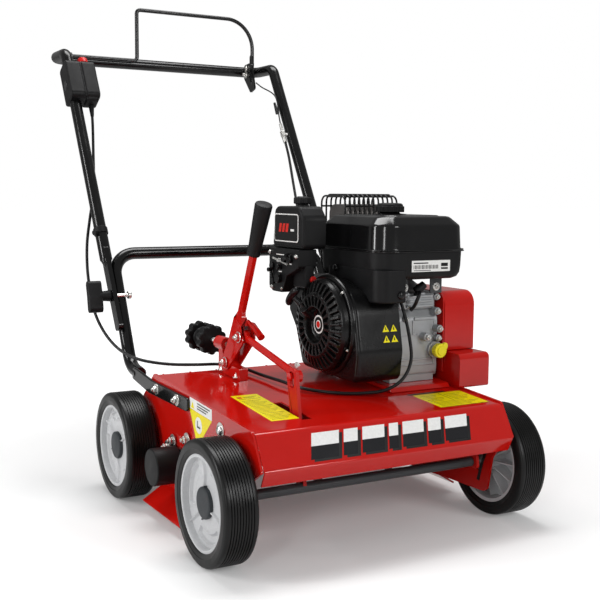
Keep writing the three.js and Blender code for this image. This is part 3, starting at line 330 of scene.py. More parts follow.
def flowing(knots, steps):
    """A smooth path through points in metres, as a flexible cable lies."""
    knots = [knots[0] * 2 - knots[1], *knots, knots[-1] * 2 - knots[-2]]
    path = []
    for p0, p1, p2, p3 in zip(knots, knots[1:], knots[2:], knots[3:]):
        t1 = (p1 - p0).length ** 0.5
        t2 = t1 + (p2 - p1).length ** 0.5
        t3 = t2 + (p3 - p2).length ** 0.5
        for k in range(steps):
            t = t1 + (t2 - t1) * k / steps
            a1 = p0.lerp(p1, t / t1)
            a2 = p1.lerp(p2, (t - t1) / (t2 - t1))
            a3 = p2.lerp(p3, (t - t2) / (t3 - t2))
            b1 = a1.lerp(a2, t / t2)
            b2 = a2.lerp(a3, (t - t1) / (t3 - t1))
            path.append(b1.lerp(b2, (t - t1) / (t2 - t1)))
    return [*path, knots[-2]]


def rod(start, end, radius, sides=24, end_radius=None):
    """A straight round bar between two points in millimetres, tapered if a second radius is given."""
    last = radius if end_radius is None else end_radius
    return swept([at(*start), at(*end)], radius, sides, taper=lambda share: radius + (last - radius) * share)


def lofted(sections):
    """A skin through plans at rising levels, each (z, corners), closed at both ends."""
    return skinned([[at(*p, level) for p in rounded(corners)] for level, corners in sections])


def relief(centre, outward, inner, outer, height, rings, steps):
    """A round face across X whose depth along X is a function of radius and angle."""
    origin = at(*centre)
    points, faces = [], []
    for i in range(rings + 1):
        radius = inner + (outer - inner) * i / rings
        points += [origin + Vector((height(radius, a) * outward, radius * sin(a), radius * cos(a))) * MM
                   for a in angles(steps)]
        faces += girdle(i * steps, steps) if i < rings else []
    if outward > 0:
        faces = [(a, d, c, b) for a, b, c, d in faces]
    return meshed(points, faces, recalculated=False)


def from_cad(node):
    """A CAD node's own solid, with its flat faces made whole."""
    bm = bmesh.new()
    bm.from_mesh(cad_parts[node].data)
    bmesh.ops.remove_doubles(bm, verts=bm.verts, dist=1e-6)
    bmesh.ops.dissolve_limit(bm, angle_limit=radians(0.6), verts=bm.verts, edges=bm.edges)
    return bm


def softened(bm, width, steps=2, limit=32, pick=None):
    """Rounds a mesh's sharp edges; pick narrows them to the edges for which it is true."""
    sharp = [e for e in bm.edges if len(e.link_faces) == 2 and e.calc_face_angle(0) > radians(limit)]
    if pick:
        sharp = [e for e in sharp if pick(e)]
    bmesh.ops.bevel(bm, geom=sharp, offset=width * MM, offset_type="OFFSET", segments=steps, profile=0.5,
                    affect="EDGES", clamp_overlap=True)
    return bm


def carved(bm, cutter):
    """A mesh with another mesh cut away from it."""
    shape, tool = scratch_object(bm), scratch_object(cutter)
    modifier = shape.modifiers.new("cut", "BOOLEAN")
    modifier.operation, modifier.solver, modifier.object = "DIFFERENCE", "EXACT", tool
    result = bmesh.new()
    result.from_mesh(shape.evaluated_get(bpy.context.evaluated_depsgraph_get()).to_mesh())
    bmesh.ops.dissolve_limit(result, angle_limit=radians(0.4), verts=result.verts, edges=result.edges)
    for used in (shape, tool):
        bpy.data.objects.remove(used)
    return result


def scratch_object(bm):
    """An object for a boolean, removed again afterwards."""
    mesh = bpy.data.meshes.new("scratch")
    bm.to_mesh(mesh)
    bm.free()
    return placed("scratch", mesh)


SMOOTH_TO = radians(48)  # the bend between two faces up to which shading runs on smoothly


class Piece:
    """One named object gathered from meshes, each in its own material or the piece's."""

    def __init__(self, name, material):
        self.name, self.mesh, self.main, self.materials = name, bmesh.new(), material, []

    def add(self, bm, material=None, edge=0, steps=2):
        """Takes a mesh in; edge is the radius in millimetres that its sharp edges get."""
        material = material or self.main
        if edge:
            softened(bm, edge, steps)
        if material not in self.materials:
            self.materials.append(material)
        index = self.materials.index(material)
        for face in bm.faces:
            face.material_index, face.smooth = index, True
        for e in bm.edges:
            e.smooth = len(e.link_faces) == 2 and e.calc_face_angle(0) < SMOOTH_TO
        part = bpy.data.meshes.new("part")
        bm.to_mesh(part)
        bm.free()
        self.mesh.from_mesh(part)
        bpy.data.meshes.remove(part)
        return self

    def made(self, node=None, slot=None, body="chassis"):
        """Turns the piece into an object that rides on a body and stands for a CAD node."""
        made = self.loose()
        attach(made, body)
        if node:
            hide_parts(node)

    def loose(self):
        """Turns the piece into an object that rides on nothing yet."""
        mesh = bpy.data.meshes.new(self.name)
        self.mesh.to_mesh(mesh)
        self.mesh.free()
        for material in self.materials:
            mesh.materials.append(material)
        made = placed(self.name, mesh)
        made.modifiers.new("even shading", "WEIGHTED_NORMAL").keep_sharp = True
        return made


def refined(node, body, slot, material, edge, name=None):
    """A CAD node's own shape with its edges eased and a finish."""
    Piece(name or f"{node}_fine", material).add(from_cad(node), edge=edge).made(node, slot, body)


def aimed(profile, base, direction, steps=24):
    """A small turned piece that stands on a point and turns about a direction."""
    bm = turned(profile, "z", (0, 0, 0), steps)
    bmesh.ops.translate(bm, vec=-at(0, 0, 0), verts=bm.verts)
    turn = UP.rotation_difference(Vector(direction)).to_matrix().to_4x4()
    bmesh.ops.transform(bm, matrix=Matrix.Translation(base) @ turn, verts=bm.verts)
    return bm


def bolt(piece, place, direction, size, washer=True, dome=False):
    """A bolt head of a size across its corners, in millimetres, standing on a point of a face."""
    base, foot = at(*place), 1.6 if washer else 0

    def ring(*profile, sides=24, edge=0):
        points = [(0, foot), *((size * r, foot + size * h) for r, h in profile)]
        piece.add(aimed(points, base, direction, sides), ZINC, edge=edge)

    if washer:
        flat = [(0, 0), (size * 0.95, 0), (size * 0.95, 1.2), (size * 0.9, 1.6), (0, 1.6)]
        piece.add(aimed(flat, base, direction), ZINC)
    if dome:
        ring((0.62, 0), (0.6, 0.14), (0.42, 0.3), (0, 0.36))
    else:
        ring((0.58, 0), (0.58, 0.42), (0.5, 0.52), (0, 0.52), sides=6, edge=0.3)
        ring((0.3, 0), (0.3, 0.75), (0.24, 0.82), (0, 0.82), sides=16)


# ---------------------------------------------------------------- materials
class Finish:
    """A procedural material under construction: one principled shader fed by noise in object space."""

    def __init__(self, name, color, metallic=0.0):
        self.material = bpy.data.materials.new(name)
        self.nodes, self.links = node_tree(self.material)
        self.shader = self.nodes["Principled BSDF"]
        self.color = color
        put(self.shader, Metallic=metallic, Base_Color=(*color, 1))
        self.place = self.nodes.new("ShaderNodeTexCoord").outputs["Object"]

    def noise(self, scale, detail=4.0):
        """Noise between 0 and 1 at a scale per metre."""
        texture = self.nodes.new("ShaderNodeTexNoise")
        put(texture, Scale=scale, Detail=detail)
        self.links.new(self.place, texture.inputs["Vector"])
        return texture.outputs["Fac"]

    def ranged(self, source, low, high, lowest=0.3, highest=0.7):
        """A value spread from low to high."""
        spread = self.nodes.new("ShaderNodeMapRange")
        put(spread, From_Min=lowest, From_Max=highest, To_Min=low, To_Max=high)
        self.links.new(source, spread.inputs["Value"])
        return spread.outputs["Result"]

    def tinted(self, noise, low, high, factor, *ends):
        """Mixes a lighter or darker tone in where the noise is high."""
        mix = self.nodes.new("ShaderNodeMix")
        mix.data_type = "RGBA"
        mix.inputs["B"].default_value = (*(min(1.0, c * factor) for c in self.color), 1)
        current = self.shader.inputs["Base Color"]
        if current.is_linked:
            self.links.new(current.links[0].from_socket, mix.inputs["A"])
        else:
            mix.inputs["A"].default_value = (*self.color, 1)
        self.links.new(self.ranged(self.noise(*noise), low, high, *ends), mix.inputs["Factor"])
        self.links.new(mix.outputs["Result"], current)
        return self

    def rough(self, noise, low, high):
        """Roughness that wanders between two values."""
        self.links.new(self.ranged(self.noise(*noise), low, high), self.shader.inputs["Roughness"])
        return self

    def bumpy(self, noise, distance, strength):
        """A bump of a real height in millimetres."""
        bump = self.nodes.new("ShaderNodeBump")
        put(bump, Distance=distance * MM, Strength=strength)
        self.links.new(self.noise(*noise), bump.inputs["Height"])
        normal = self.shader.inputs["Normal"]
        if normal.is_linked:
            self.links.new(normal.links[0].from_socket, bump.inputs["Normal"])
        self.links.new(bump.outputs["Normal"], normal)
        return self


def paint(name, color, roughness=(0.16, 0.3), peel=0.05, gloss=0.35):
    """Sprayed gloss enamel: faint orange peel, slow changes of tone and polish."""
    finish = Finish(name, color)
    finish.tinted((5,), 0.0, 0.45, 0.82).tinted((60, 6), 0.0, 0.12, 1.25)
    finish.rough((22, 5), *roughness).bumpy((420, 2), peel, 0.35)
    put(finish.shader, Coat_Roughness=0.06, Specular_IOR_Level=gloss)
    return finish.material


def plastic(name, color, roughness=(0.42, 0.6), grain=0.06, gloss=0.3):
    """Moulded plastic with a fine eroded grain."""
    finish = Finish(name, color)
    finish.tinted((9,), 0.0, 0.5, 1.35).tinted((240, 3), 0.0, 0.25, 0.7)
    finish.rough((30, 5), *roughness).bumpy((1500, 3), grain, 0.6)
    put(finish.shader, Specular_IOR_Level=gloss)
    return finish.material


def film_ink(name, color, roughness=(0.3, 0.4)):
    """A printed film: smooth, with next to no grain."""
    return plastic(name, color, roughness, grain=0.008)


def rubber(name, color, roughness):
    """Moulded rubber: dull, faintly mottled and dusted."""
    finish = Finish(name, color)
    finish.tinted((14, 6), 0.0, 0.35, 1.6, 0.45, 0.75).tinted((700, 2), 0.0, 0.3, 0.6)
    finish.rough((35, 5), *roughness).bumpy((900, 3), 0.08, 0.5)
    put(finish.shader, Specular_IOR_Level=0.3)
    return finish.material


def metal(name, color, roughness=(0.22, 0.42)):
    """Bare or plated metal with a little cloudiness and a fine surface."""
    finish = Finish(name, color, metallic=1.0)
    finish.tinted((40, 5), 0.0, 0.6, 0.74).rough((110, 4), *roughness)
    return finish.bumpy((900, 3), 0.03, 0.5).material


def casting(name, color):
    """Die-cast aluminium: grainy skin, darker in places."""
    finish = Finish(name, color, metallic=0.75)
    finish.tinted((18, 6), 0.0, 0.7, 0.68).rough((60, 4), 0.42, 0.6)
    return finish.bumpy((1100, 4), 0.12, 0.7).bumpy((160, 4), 0.25, 0.35).material


ENAMEL, COAL = (0.52, 0.006, 0.003), (0.003, 0.003, 0.0032)
RED = paint("red_enamel", ENAMEL, (0.06, 0.14), gloss=0.5)
RED_SATIN = paint("red_satin", ENAMEL, (0.4, 0.5), gloss=0.3)
GLOSS_BLACK = paint("black_enamel", (0.0035, 0.0035, 0.0038), (0.07, 0.15), 0.03, 0.5)
TUBE_BLACK = paint("black_powder_coat", COAL, (0.14, 0.22), 0.008, 0.42)
SATIN_BLACK = paint("satin_black", COAL, (0.22, 0.32), 0.03, 0.3)
GREY_PAINT = paint("grey_paint", (0.05, 0.053, 0.056), (0.3, 0.42))
BLACK = plastic("black_plastic", (0.004, 0.004, 0.0045), gloss=0.22)
SMOOTH_BLACK = plastic("smooth_black_plastic", (0.005, 0.005, 0.0055), (0.2, 0.3), 0.02)
SILVER = plastic("silver_plastic", (0.5, 0.505, 0.515), (0.3, 0.42), 0.03, 0.5)
SLATE = plastic("slate_plastic", (0.03, 0.034, 0.038))
YELLOW = plastic("yellow_plastic", (0.82, 0.7, 0.02), (0.3, 0.45), 0.02)
RED_PLASTIC = plastic("red_plastic", (0.6, 0.012, 0.01), (0.2, 0.3), 0.01)
TYRE_RUBBER = rubber("tyre_rubber", (0.003, 0.003, 0.003), (0.3, 0.44))
CABLE_RUBBER = rubber("cable_sheath", (0.006, 0.006, 0.0065), (0.34, 0.46))
ZINC = metal("zinc_plate", (0.78, 0.77, 0.74))
DARK_STEEL = metal("dark_steel", (0.16, 0.15, 0.145), (0.35, 0.55))
STEEL = metal("steel", (0.6, 0.6, 0.6), (0.25, 0.4))
CASTING = casting("cast_aluminium", (0.42, 0.43, 0.44))
YELLOW_FILM = film_ink("yellow_film", (0.88, 0.72, 0.0), (0.25, 0.35))
WHITE_FILM = film_ink("white_film", (0.82, 0.82, 0.8), (0.25, 0.35))
INK = film_ink("black_ink", (0.006, 0.006, 0.006))
DARK_FILM = film_ink("dark_film", (0.014, 0.014, 0.016), (0.14, 0.2))
RED_INK = film_ink("red_ink", (0.6, 0.02, 0.012))

# ---------------------------------------------------------------- cables
STOP_LEAD = [
    (-224, 770, 758), (-228, 752, 724), (-237, 722, 660), (-246, 694, 605), (-256, 672, 560),
    (-269, 652, 520), (-283, 628, 470), (-291, 602, 418), (-291, 586, 377), (-288, 568, 336),
    (-282, 538, 304), (-272, 508, 280), (-259, 480, 264), (-240, 446, 254), (-212, 417, 249),
    (-185, 398, 247), (-150, 372, 248), (-108, 356, 248), (-84, 318, 246), (-72, 250, 241),
    (-64, 190, 239), (-50, 138, 234), (-14, 104, 229), (34, 76, 228), (72, 55, 234),
    (104, 49, 252), (126, 56, 282), (133, 72, 322), (133, 92, 368), (128, 110, 408),
]
CLUTCH_CABLE = [
    (236.5, 733.6, 697.6), (235, 714, 664), (224, 668, 592), (210, 612, 512), (203, 574, 456),
    (201, 549, 402), (203, 512, 350), (212, 440, 314), (224, 362, 304), (229, 303, 302),
]
CABLE_R = 3
FOLD = (545, 370)  # y and z of the handle's fold
LEG_SLOPE = 0.588  # an upper leg's run back for each unit of rise


def make_cable(name, knots):
    """A sheathed cable swept in one piece through its knots; it stands in for both its upper and its lower
    part.
    """
    cable = Piece(name, CABLE_RUBBER).add(swept(flowing([at(*k) for k in knots], 8), CABLE_R, 14)).loose()
    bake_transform(cable)
    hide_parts(f"{name}_upper", f"{name}_lower")


# ---------------------------------------------------------------- wheels
TYRE_HALF, GROOVES, GROOVE_DEPTH = 29, 9, 1.6
RIM_R, RIM_HALF, RIM_RIBS = 77, 25, 12


def tyre_profile():
    """Grooved tread, rounded shoulders and a stepped side wall, as (radius, distance)."""
    half, flat = TYRE_HALF, TYRE_HALF - 6
    side = [(RIM_R, half - 3), (RIM_R + 3, half - 1.4), (RIM_R + 7, half - 1.2), (RIM_R + 8, half),
            (RIM_R + 16, half), (RIM_R + 17, half - 0.8), (RIM_R + 19.5, half - 1.2),
            (RIM_R + 21.6, half - 2.6), (WHEEL_R - 0.5, half - 4.6), (WHEEL_R, half - 6.6)]
    tread = []
    for k in range(GROOVES):
        middle_of = flat - 2 * flat / (GROOVES + 1) * (k + 1)
        tread += [(WHEEL_R, middle_of + 0.9), (WHEEL_R - GROOVE_DEPTH, middle_of + 0.4),
                  (WHEEL_R - GROOVE_DEPTH, middle_of - 0.4), (WHEEL_R, middle_of - 0.9)]
    return [*side, *tread, *((r, -d) for r, d in reversed(side))]


def spoke_face(radius, angle):
    """Depth of a rim's outer face: three ridges from the hub, and a sunk pocket between each two."""
    turn = degrees(angle) % 120
    across = radians(min(turn, 120 - turn)) * radius
    ridge = 4.5 * max(0.0, 1 - (across / 2.2) ** 2)
    sector = smooth(turn, 22, 25) * (1 - smooth(turn, 95, 98))
    pocket = 5 * sector * smooth(radius, 49, 51.5) * (1 - smooth(radius, 62, 64))
    around = 1.6 * smooth(turn, 17, 21) * (1 - smooth(turn, 99, 103))
    lip = around * smooth(radius, 44.5, 47) * (1 - smooth(radius, 65, 67))
    dish = 3 * sin(pi * (radius - 24) / 46)
    return 15 + ridge + lip - pocket - dish


def smooth(value, low, high):
    """0 below low, 1 above high, and a smooth step between."""
    share = min(max((value - low) / (high - low), 0.0), 1.0)
    return share * share * (3 - 2 * share)


def make_wheel(place, turn):
    """A tyre on a moulded rim; turn is where its first ridge points, in degrees."""
    x, y, _ = (middle(f"tyre_{place}") - at(0, 0, 0)) / MM
    side = copysign(1, x)
    hub, edge = (x, y, WHEEL_R), RIM_R - 0.2
    tyre = Piece(f"tread_{place}", TYRE_RUBBER).add(turned(tyre_profile(), "x", hub, 144))
    tyre.made(f"tyre_{place}", "tyre_rubber", f"wheel_{place}")

    rim = Piece(f"wheel_disc_{place}", SILVER)
    barrel = [(edge, RIM_HALF), (edge - 2, RIM_HALF + 1.2), (edge - 5, RIM_HALF + 0.6),
              (edge - 6.2, RIM_HALF - 1.5), (edge - 7, 14), (edge - 7, 9), (edge - 6, -RIM_HALF + 1),
              (edge - 4, -RIM_HALF), (edge, -RIM_HALF)]
    rim.add(turned(barrel, "x", hub, 96, side))
    rim.add(relief(hub, side, 23, edge - 6.5, lambda r, a: spoke_face(r, a - radians(turn)), 30, 300))
    back = [(edge - 6.6, 8.5), (edge - 6.6, 5.5), (20, 4), (20, -RIM_HALF), (9, -RIM_HALF), (9, 7), (24, 9)]
    rim.add(turned(back, "x", hub, 72, side))
    for angle in angles(RIM_RIBS):
        rib = slab([(18, 5), (edge - 8, 5), (edge - 8, -12), (18, -RIM_HALF + 1)], "y", -1.2, 1.2)
        rim.add(set_round(rib, hub, side, angle), edge=0.4)
    cap = [(0, 22.5), (21, 22), (24.4, 21), (25.5, 19.4), (25.5, 12), (0, 12)]
    rim.add(turned(cap, "x", hub, 72, side), SLATE)
    for way in (1, -1):
        tab = slab([(26 * way, -3), (28 * way, -3), (28 * way, 3), (26 * way, 3)], "y", 0, 2)
        rim.add(set_round(tab, hub, side, radians(turn), 18), SLATE, edge=0.3)
    rim.made(f"rim_{place}", "rim_plastic", f"wheel_{place}")


def set_round(bm, hub, side, angle, out=0.0):
    """Takes a mesh drawn with Z as radius and X as depth, and sets it round a hub's axis."""
    bmesh.ops.translate(bm, vec=-at(0, 0, 0), verts=bm.verts)
    lift = Matrix.Translation((out * MM * side, 0, 0))
    flip = Matrix.Scale(side, 4, (1, 0, 0))
    place = Matrix.Translation(at(*hub)) @ lift @ Matrix.Rotation(angle, 4, "X") @ flip
    bmesh.ops.transform(bm, matrix=place, verts=bm.verts)
    if side < 0:
        bmesh.ops.reverse_faces(bm, faces=bm.faces)
    return bm


def make_wheels():
    for place, turn in (("front_left", 8), ("rear_left", 60), ("front_right", 30), ("rear_right", 75)):
        make_wheel(place, turn)
    end = middle("tyre_rear_right").x / MM + 18
    axle = Piece("rear_axle_bar", ZINC).add(rod((-end, REAR_Y, WHEEL_R), (end, REAR_Y, WHEEL_R), 6))
    axle.made("rear_axle", "zinc_steel")


# ---------------------------------------------------------------- deck
SIDE_IN, SIDE_OUT = 241, 245
DECK_FRONT, DECK_REAR = (-56, 214), (353, 240)
SHEET = 3
ARM_X = -125
CARRIAGE, ROTOR = (104, 125), (228, 100)  # y and z of the front carriage's pivot and the rotor's axis
PIVOT_HOLE, ROTOR_HOLE = 6.6, 21  # radii
BED = (78, 345, 9)  # the engine bed's front and back, and its rise over the deck


def deck_top(y, rise=0):
    """Height of the deck's top face, or of a place over it."""
    (y0, z0), (y1, z1) = DECK_FRONT, DECK_REAR
    return z0 + (z1 - z0) * (y - y0) / (y1 - y0) + rise


def make_deck():
    (fy, fz), (ry, rz) = DECK_FRONT, DECK_REAR
    section = [
        (-77, 136), (-89, 160.5, 5), (fy, fz, 13), (ry, rz, 7), (ry, rz - 16), (ry - SHEET, rz - 16),
        (ry - SHEET, rz - SHEET, 4), (fy + 2, fz - SHEET, 10), (-85.4, 160.3, 3), (-74.3, 137.3),
    ]
    edge = SIDE_IN - 0.4
    slot = block(ARM_X - 10, ARM_X + 10, -14, 96, 190, 240)
    deck = Piece("deck_sheet", RED).add(carved(slab(section, "x", -edge, edge, steps=10), slot), edge=0.7)
    deck.made("deck_top", "red_paint")

    front, back, rise = BED
    bed = [(front - 6, deck_top(front, 0.4)), (front, deck_top(front, rise - 1), 3),
           (front + 6, deck_top(front, rise), 3), (back, deck_top(back, rise), 3),
           (back, deck_top(back, 0.4))]
    platform = Piece("engine_bed", RED).add(slab(bed, "x", 96, 228), edge=2.2, steps=3)
    platform.made("engine_platform", "red_paint")


def axle_path(turn, offset):
    """Where the front axle stands in the side plate's slot when its carriage has turned by degrees."""
    py, pz = CARRIAGE
    reach = hypot(py, WHEEL_R - pz) + offset
    angle = atan2(WHEEL_R - pz, -py) + radians(turn)
    return Vector((py + reach * cos(angle), pz + reach * sin(angle)))


def make_side_plates():
    outline = [
        (-86, 160, 3), (-53, 217, 12), (DECK_REAR[0], 241.5, 10), (395, 203, 20), (432, 172, 14),
        (438, 92, 16), (395, 60, 16), (306, 40, 10), (177, 40, 10), (93, 44, 12), (-22, 46, 16),
        (-34, 112, 20), (-59, 143, 8),
    ]
    turns = range(-20, 11, 3)
    slot = [axle_path(t, 7) for t in turns] + [axle_path(t, -7) for t in reversed(turns)]
    for name, side in (("right", 1), ("left", -1)):
        plate = Piece(f"side_wall_{name}", RED)
        holes = [slot, circle(ROTOR_HOLE, 40, *ROTOR), circle(PIVOT_HOLE, 20, *CARRIAGE),
                 circle(PIVOT_HOLE, 20, REAR_Y, WHEEL_R)]
        plate.add(sided(outline, side, SIDE_IN, SIDE_OUT, holes, 8), edge=0.6)
        flare = [(48, side * (SIDE_OUT - 2)), (20, side * 288), (17, side * 286),
                 (44, side * (SIDE_IN + 0.5))]
        plate.add(slab(flare, "y", 130, 304), edge=0.5)
        if side > 0:
            # A black film on the right plate's inner face beside the axle slot: painted shade where the
            # slot's opening looks dark.
            painted_slot_shade = [(29, 138), (22, 139), (5.5, 101), (-6, 64), (1, 62), (12, 99)]
            plate.add(film(at(SIDE_IN, 0, 0), FORWARD, UP, painted_slot_shade, 0.1, 0.4), INK)
        bolt(plate, (side * SIDE_OUT, 58, 196), (side, 0, 0), 14, dome=True)
        bolt(plate, (side * SIDE_OUT, *CARRIAGE), (side, 0, 0), 11)
        bolt(plate, (side * SIDE_OUT, REAR_Y, WHEEL_R), (side, 0, 0), 9, washer=False)
        plate.made(f"side_plate_{name}", "red_paint")


# ---------------------------------------------------------------- labels, all with plain bars for text
def film(corner, along, up, outline, low, high):
    """A thin sheet of an outline drawn on a face from a corner, along its two directions."""
    normal = along.cross(up).normalized()
    points = [corner + (along * a + up * b + normal * c) * MM for c in (low, high) for a, b in outline]
    count = len(outline)
    return meshed(points, [tuple(range(count)), tuple(range(count, 2 * count)), *girdle(0, count)])


def oblong(x, y, width, height):
    """The corners of a rectangle."""
    return [(x, y), (x + width, y), (x + width, y + height), (x, y + height)]


def sticker(name, corner, along, up, size, ground, marks):
    """A thin film from its lower left corner, with marks (x, y, width, height, ink) on it."""
    piece = Piece(name, ground).add(film(corner, along, up, oblong(0, 0, *size), 0.05, 0.3))
    for *mark, ink in marks:
        piece.add(film(corner, along, up, oblong(*mark), 0.2, 0.42), ink)
    piece.made()


def lines(x, y, width, count, pitch=7, height=1.2):
    """Marks that stand in for lines of small print."""
    return [(x, y + pitch * k, width * (0.72 + 0.28 * ((k * 7) % 3) / 2), height, INK) for k in range(count)]


def make_labels():
    """The deck's and the left side's notices, with nothing to read on them, and a black strip of painted
    shadow on the deck behind the right notice.
    """
    rise = Vector((0, DECK_REAR[0] - DECK_FRONT[0], DECK_REAR[1] - DECK_FRONT[1])).normalized()
    sticker("deck_notice_right", at(124, -38, deck_top(-38)), RIGHT, rise, (104, 84), YELLOW_FILM,
            [(0, 0, 104, 1.4, INK), *lines(6, 8, 92, 4), (52, 34, 1.2, 46, INK),
             *lines(6, 38, 40, 5, 8), *lines(58, 38, 40, 5, 8)])
    # A black film strip on the deck behind the right notice: a painted shadow, not a notice.
    sticker("deck_painted_shadow", at(118, 48, deck_top(48)), RIGHT, rise, (80, 8), INK, [])
    sticker("deck_notice_left", at(-185.7, -5, deck_top(-5)), RIGHT + rise * -0.01, rise + RIGHT * 0.03,
            (50, 162), YELLOW_FILM,
            [(5, 142, 9, 9, RED_INK), (17, 148, 26, 1.6, INK), (17, 143, 20, 1.6, INK),
             (5, 135, 40, 1.2, INK), *lines(5, 96, 40, 5), (5, 88, 40, 1.4, INK), *lines(5, 52, 40, 5),
             (5, 44, 40, 1.4, INK), *lines(5, 8, 40, 5)])
    lean = (at(0, 95.7, 204) - at(0, 186, 209.5)).normalized()
    sticker("side_notice", at(-SIDE_OUT, 184, 209.5), lean, UP, (92, 19), WHITE_FILM,
            lines(32, 5, 52, 3, 4.4, 2))
    mark = Piece("side_mark", YELLOW_FILM)
    for outline, low, high, ink in (
            ([(0, 0), (92, 0), (46, -47), (26, -47)], 0.05, 0.3, YELLOW_FILM),
            (circle(14, 32, 38, -21), 0.2, 0.4, WHITE_FILM),
            (oblong(32, -26, 13, 3), 0.35, 0.5, INK),
            (oblong(32, -26, 3, 12), 0.35, 0.5, INK),
            ([(6, 3), (20, 3), (13, 14)], 0.35, 0.5, YELLOW_FILM)):
        mark.add(film(at(-SIDE_OUT, 184, 209), lean, UP, outline, low, high), ink)
    mark.made()


def make_front_stripes():
    """Slanted two-tone blocks across the deck's front face, each with its shadow."""
    low, high = Vector((0, -89, 160.5)), Vector((0, *DECK_FRONT))
    up, foot = (high - low).normalized(), at(*low)
    height, lean, gap = 42, 0.3, 9
    half = height / 2
    piece = Piece("front_stripes", INK)
    x = -158
    for width in (50, 26, 42, 18, 42, 26, 46):
        for left, y, tall, level, ink in ((x + 5, 7, height, 0.15, INK), (x, 11, half, 0.3, DARK_FILM),
                                          (x + half * lean, 11 + half, half, 0.3, WHITE_FILM)):
            right, slant = left + width, tall * lean
            outline = [(left, y), (right, y), (right + slant, y + tall), (left + slant, y + tall)]
            piece.add(film(foot, RIGHT, up, outline, 0.05, level), ink)
        x += width + gap
    piece.made()


# ---------------------------------------------------------------- front axle, height lever and depth screw
ARM_PIN = (36, 277)
LEVER_PIVOT, LEVER_PIN, LEVER_TOP = (300, 261), (242, 316), (168, 560)
LEVER_X, KNOB_Z = -111, 292
AXLE_R = 8.5
LOBE_STEPS = 12  # samples round each lobe of a hand wheel


def tucked(lug):
    """The carriage arm with its foot drawn in to the rod that it is welded to."""
    inside = AXLE_R - 0.3
    for vert in lug.verts:
        x, y, z = (vert.co - at(0, 0, WHEEL_R)) / MM
        reach = hypot(y, z)
        if inside < reach < 34 and (y < 6 or z < -8):
            vert.co = at(x, y * inside / reach, WHEEL_R + z * inside / reach)
    return lug


def make_front_axle():
    axle = Piece("front_axle_bar", GREY_PAINT)
    axle.add(rod((-232, 0, WHEEL_R), (232, 0, WHEEL_R), AXLE_R, 40), edge=0.8)
    for side in (1, -1):
        axle.add(rod((side * 231, 0, WHEEL_R), (side * 299, 0, WHEEL_R), 6, 32), ZINC, edge=0.8)
        cheek = [(-17, 88, 6), (-14, 113, 6), (104, 143, 17), (112, 108, 17)]
        hole = circle(PIVOT_HOLE, 20, *CARRIAGE)
        axle.add(slab(cheek, "x", side * 222, side * 228, [hole]), RED_SATIN, edge=1)
    axle.made("front_axle_beam", "grey_paint", "front_axle")
    arm = Piece("carriage_lug", RED_SATIN).add(tucked(from_cad("carriage_arm")))
    bolt(arm, (-122, ARM_PIN[0] - 6, ARM_PIN[1] + 20), (1, 0, 0), 6)
    arm.made("carriage_arm", "red_paint", "front_axle")


def tapered(lever):
    """The lever's fork with its closed end drawn in to the bar above it."""
    foot, along = Vector(LEVER_PIVOT), Vector(LEVER_TOP) - Vector(LEVER_PIVOT)
    for vert in lever.verts:
        x, y, z = (vert.co - at(0, 0, 0)) / MM
        share = (Vector((y, z)) - foot).dot(along) / along.length_squared
        if 0.295 < share < 0.4 and abs(x - LEVER_X) > 5:
            vert.co.x = (LEVER_X + (x - LEVER_X) * 0.42) * MM
    return lever


def make_height_lever():
    bracket = Piece("lever_mount", RED).add(from_cad("lever_bracket"), edge=1.0)
    for x in (-118.5, -103.5):
        for y in (262, 326):
            bolt(bracket, (x, y, deck_top(y, 4.5)), (0, 0, 1), 8)
    bracket.made("lever_bracket", "red_paint")

    lever = Piece("lever_arm", RED).add(tapered(from_cad("height_lever")), edge=0.9)
    for y, z in (LEVER_PIVOT, LEVER_PIN):
        bolt(lever, (LEVER_X - 14, y, z), (-1, 0, 0), 11)
    lever.made("height_lever", "red_paint", "height_lever")

    tip = Vector(LEVER_TOP)
    start = Vector(LEVER_PIVOT).lerp(tip, 0.69)
    path = [at(LEVER_X, *start.lerp(tip, k / 40)) for k in range(41)]

    def girth(share):
        ring = 0.8 * exp(-((share - 0.03) / 0.02) ** 2)
        tip_round = sqrt(max(0.0, 1 - max(0.0, (share - 0.95) / 0.05) ** 2))
        return (11.5 + 4.5 * share + ring) * (0.45 + 0.55 * tip_round)

    grip = Piece("lever_handle", BLACK).add(swept(path, 0, 40, girth))
    grip.made("lever_grip", "black_plastic", "height_lever")
    refined("link_rod", "link", "red_paint", RED, 0.8, "link_bar")


def lobed(axis, centre, radius, depth, lobes, low, high, crown):
    """A disc with lobes or flutes round it, between two places along an axis; centre is in its plane."""
    outline = []
    for angle in angles(lobes * LOBE_STEPS):
        reach = radius - depth * (0.5 - 0.5 * cos(lobes * angle)) ** 1.6
        outline.append((centre[0] + reach * cos(angle), centre[1] + reach * sin(angle)))
    return softened(slab(outline, axis, low, high), crown, 3, 60)


def make_depth_screw():
    knob = Piece("depth_hand_wheel", BLACK)
    for low in (384, 439):
        knob.add(lobed("y", (KNOB_Z, LEVER_X), 30, 4, 10, low, low + 19, 5))
    centre = (LEVER_X, 0, KNOB_Z)
    neck = [(0, 406), (19, 407), (16.5, 411), (16.5, 431), (19, 435), (0, 436)]
    knob.add(turned(neck, "y", centre, 48))
    knob.add(turned([(0, 459), (13, 460.2), (12, 461.6), (0, 462)], "y", centre, 40), SMOOTH_BLACK)
    threads, pitch, first = 28, 2, 322.5
    screw = [(0, first)]
    for k in range(threads):
        screw += [(4.2, first + pitch * k), (5, first + pitch * (k + 0.5))]
    knob.add(turned([*screw, (5, 383), (0, 383)], "y", centre, 28), ZINC)
    knob.made("depth_knob", "black_plastic", "depth_screw")


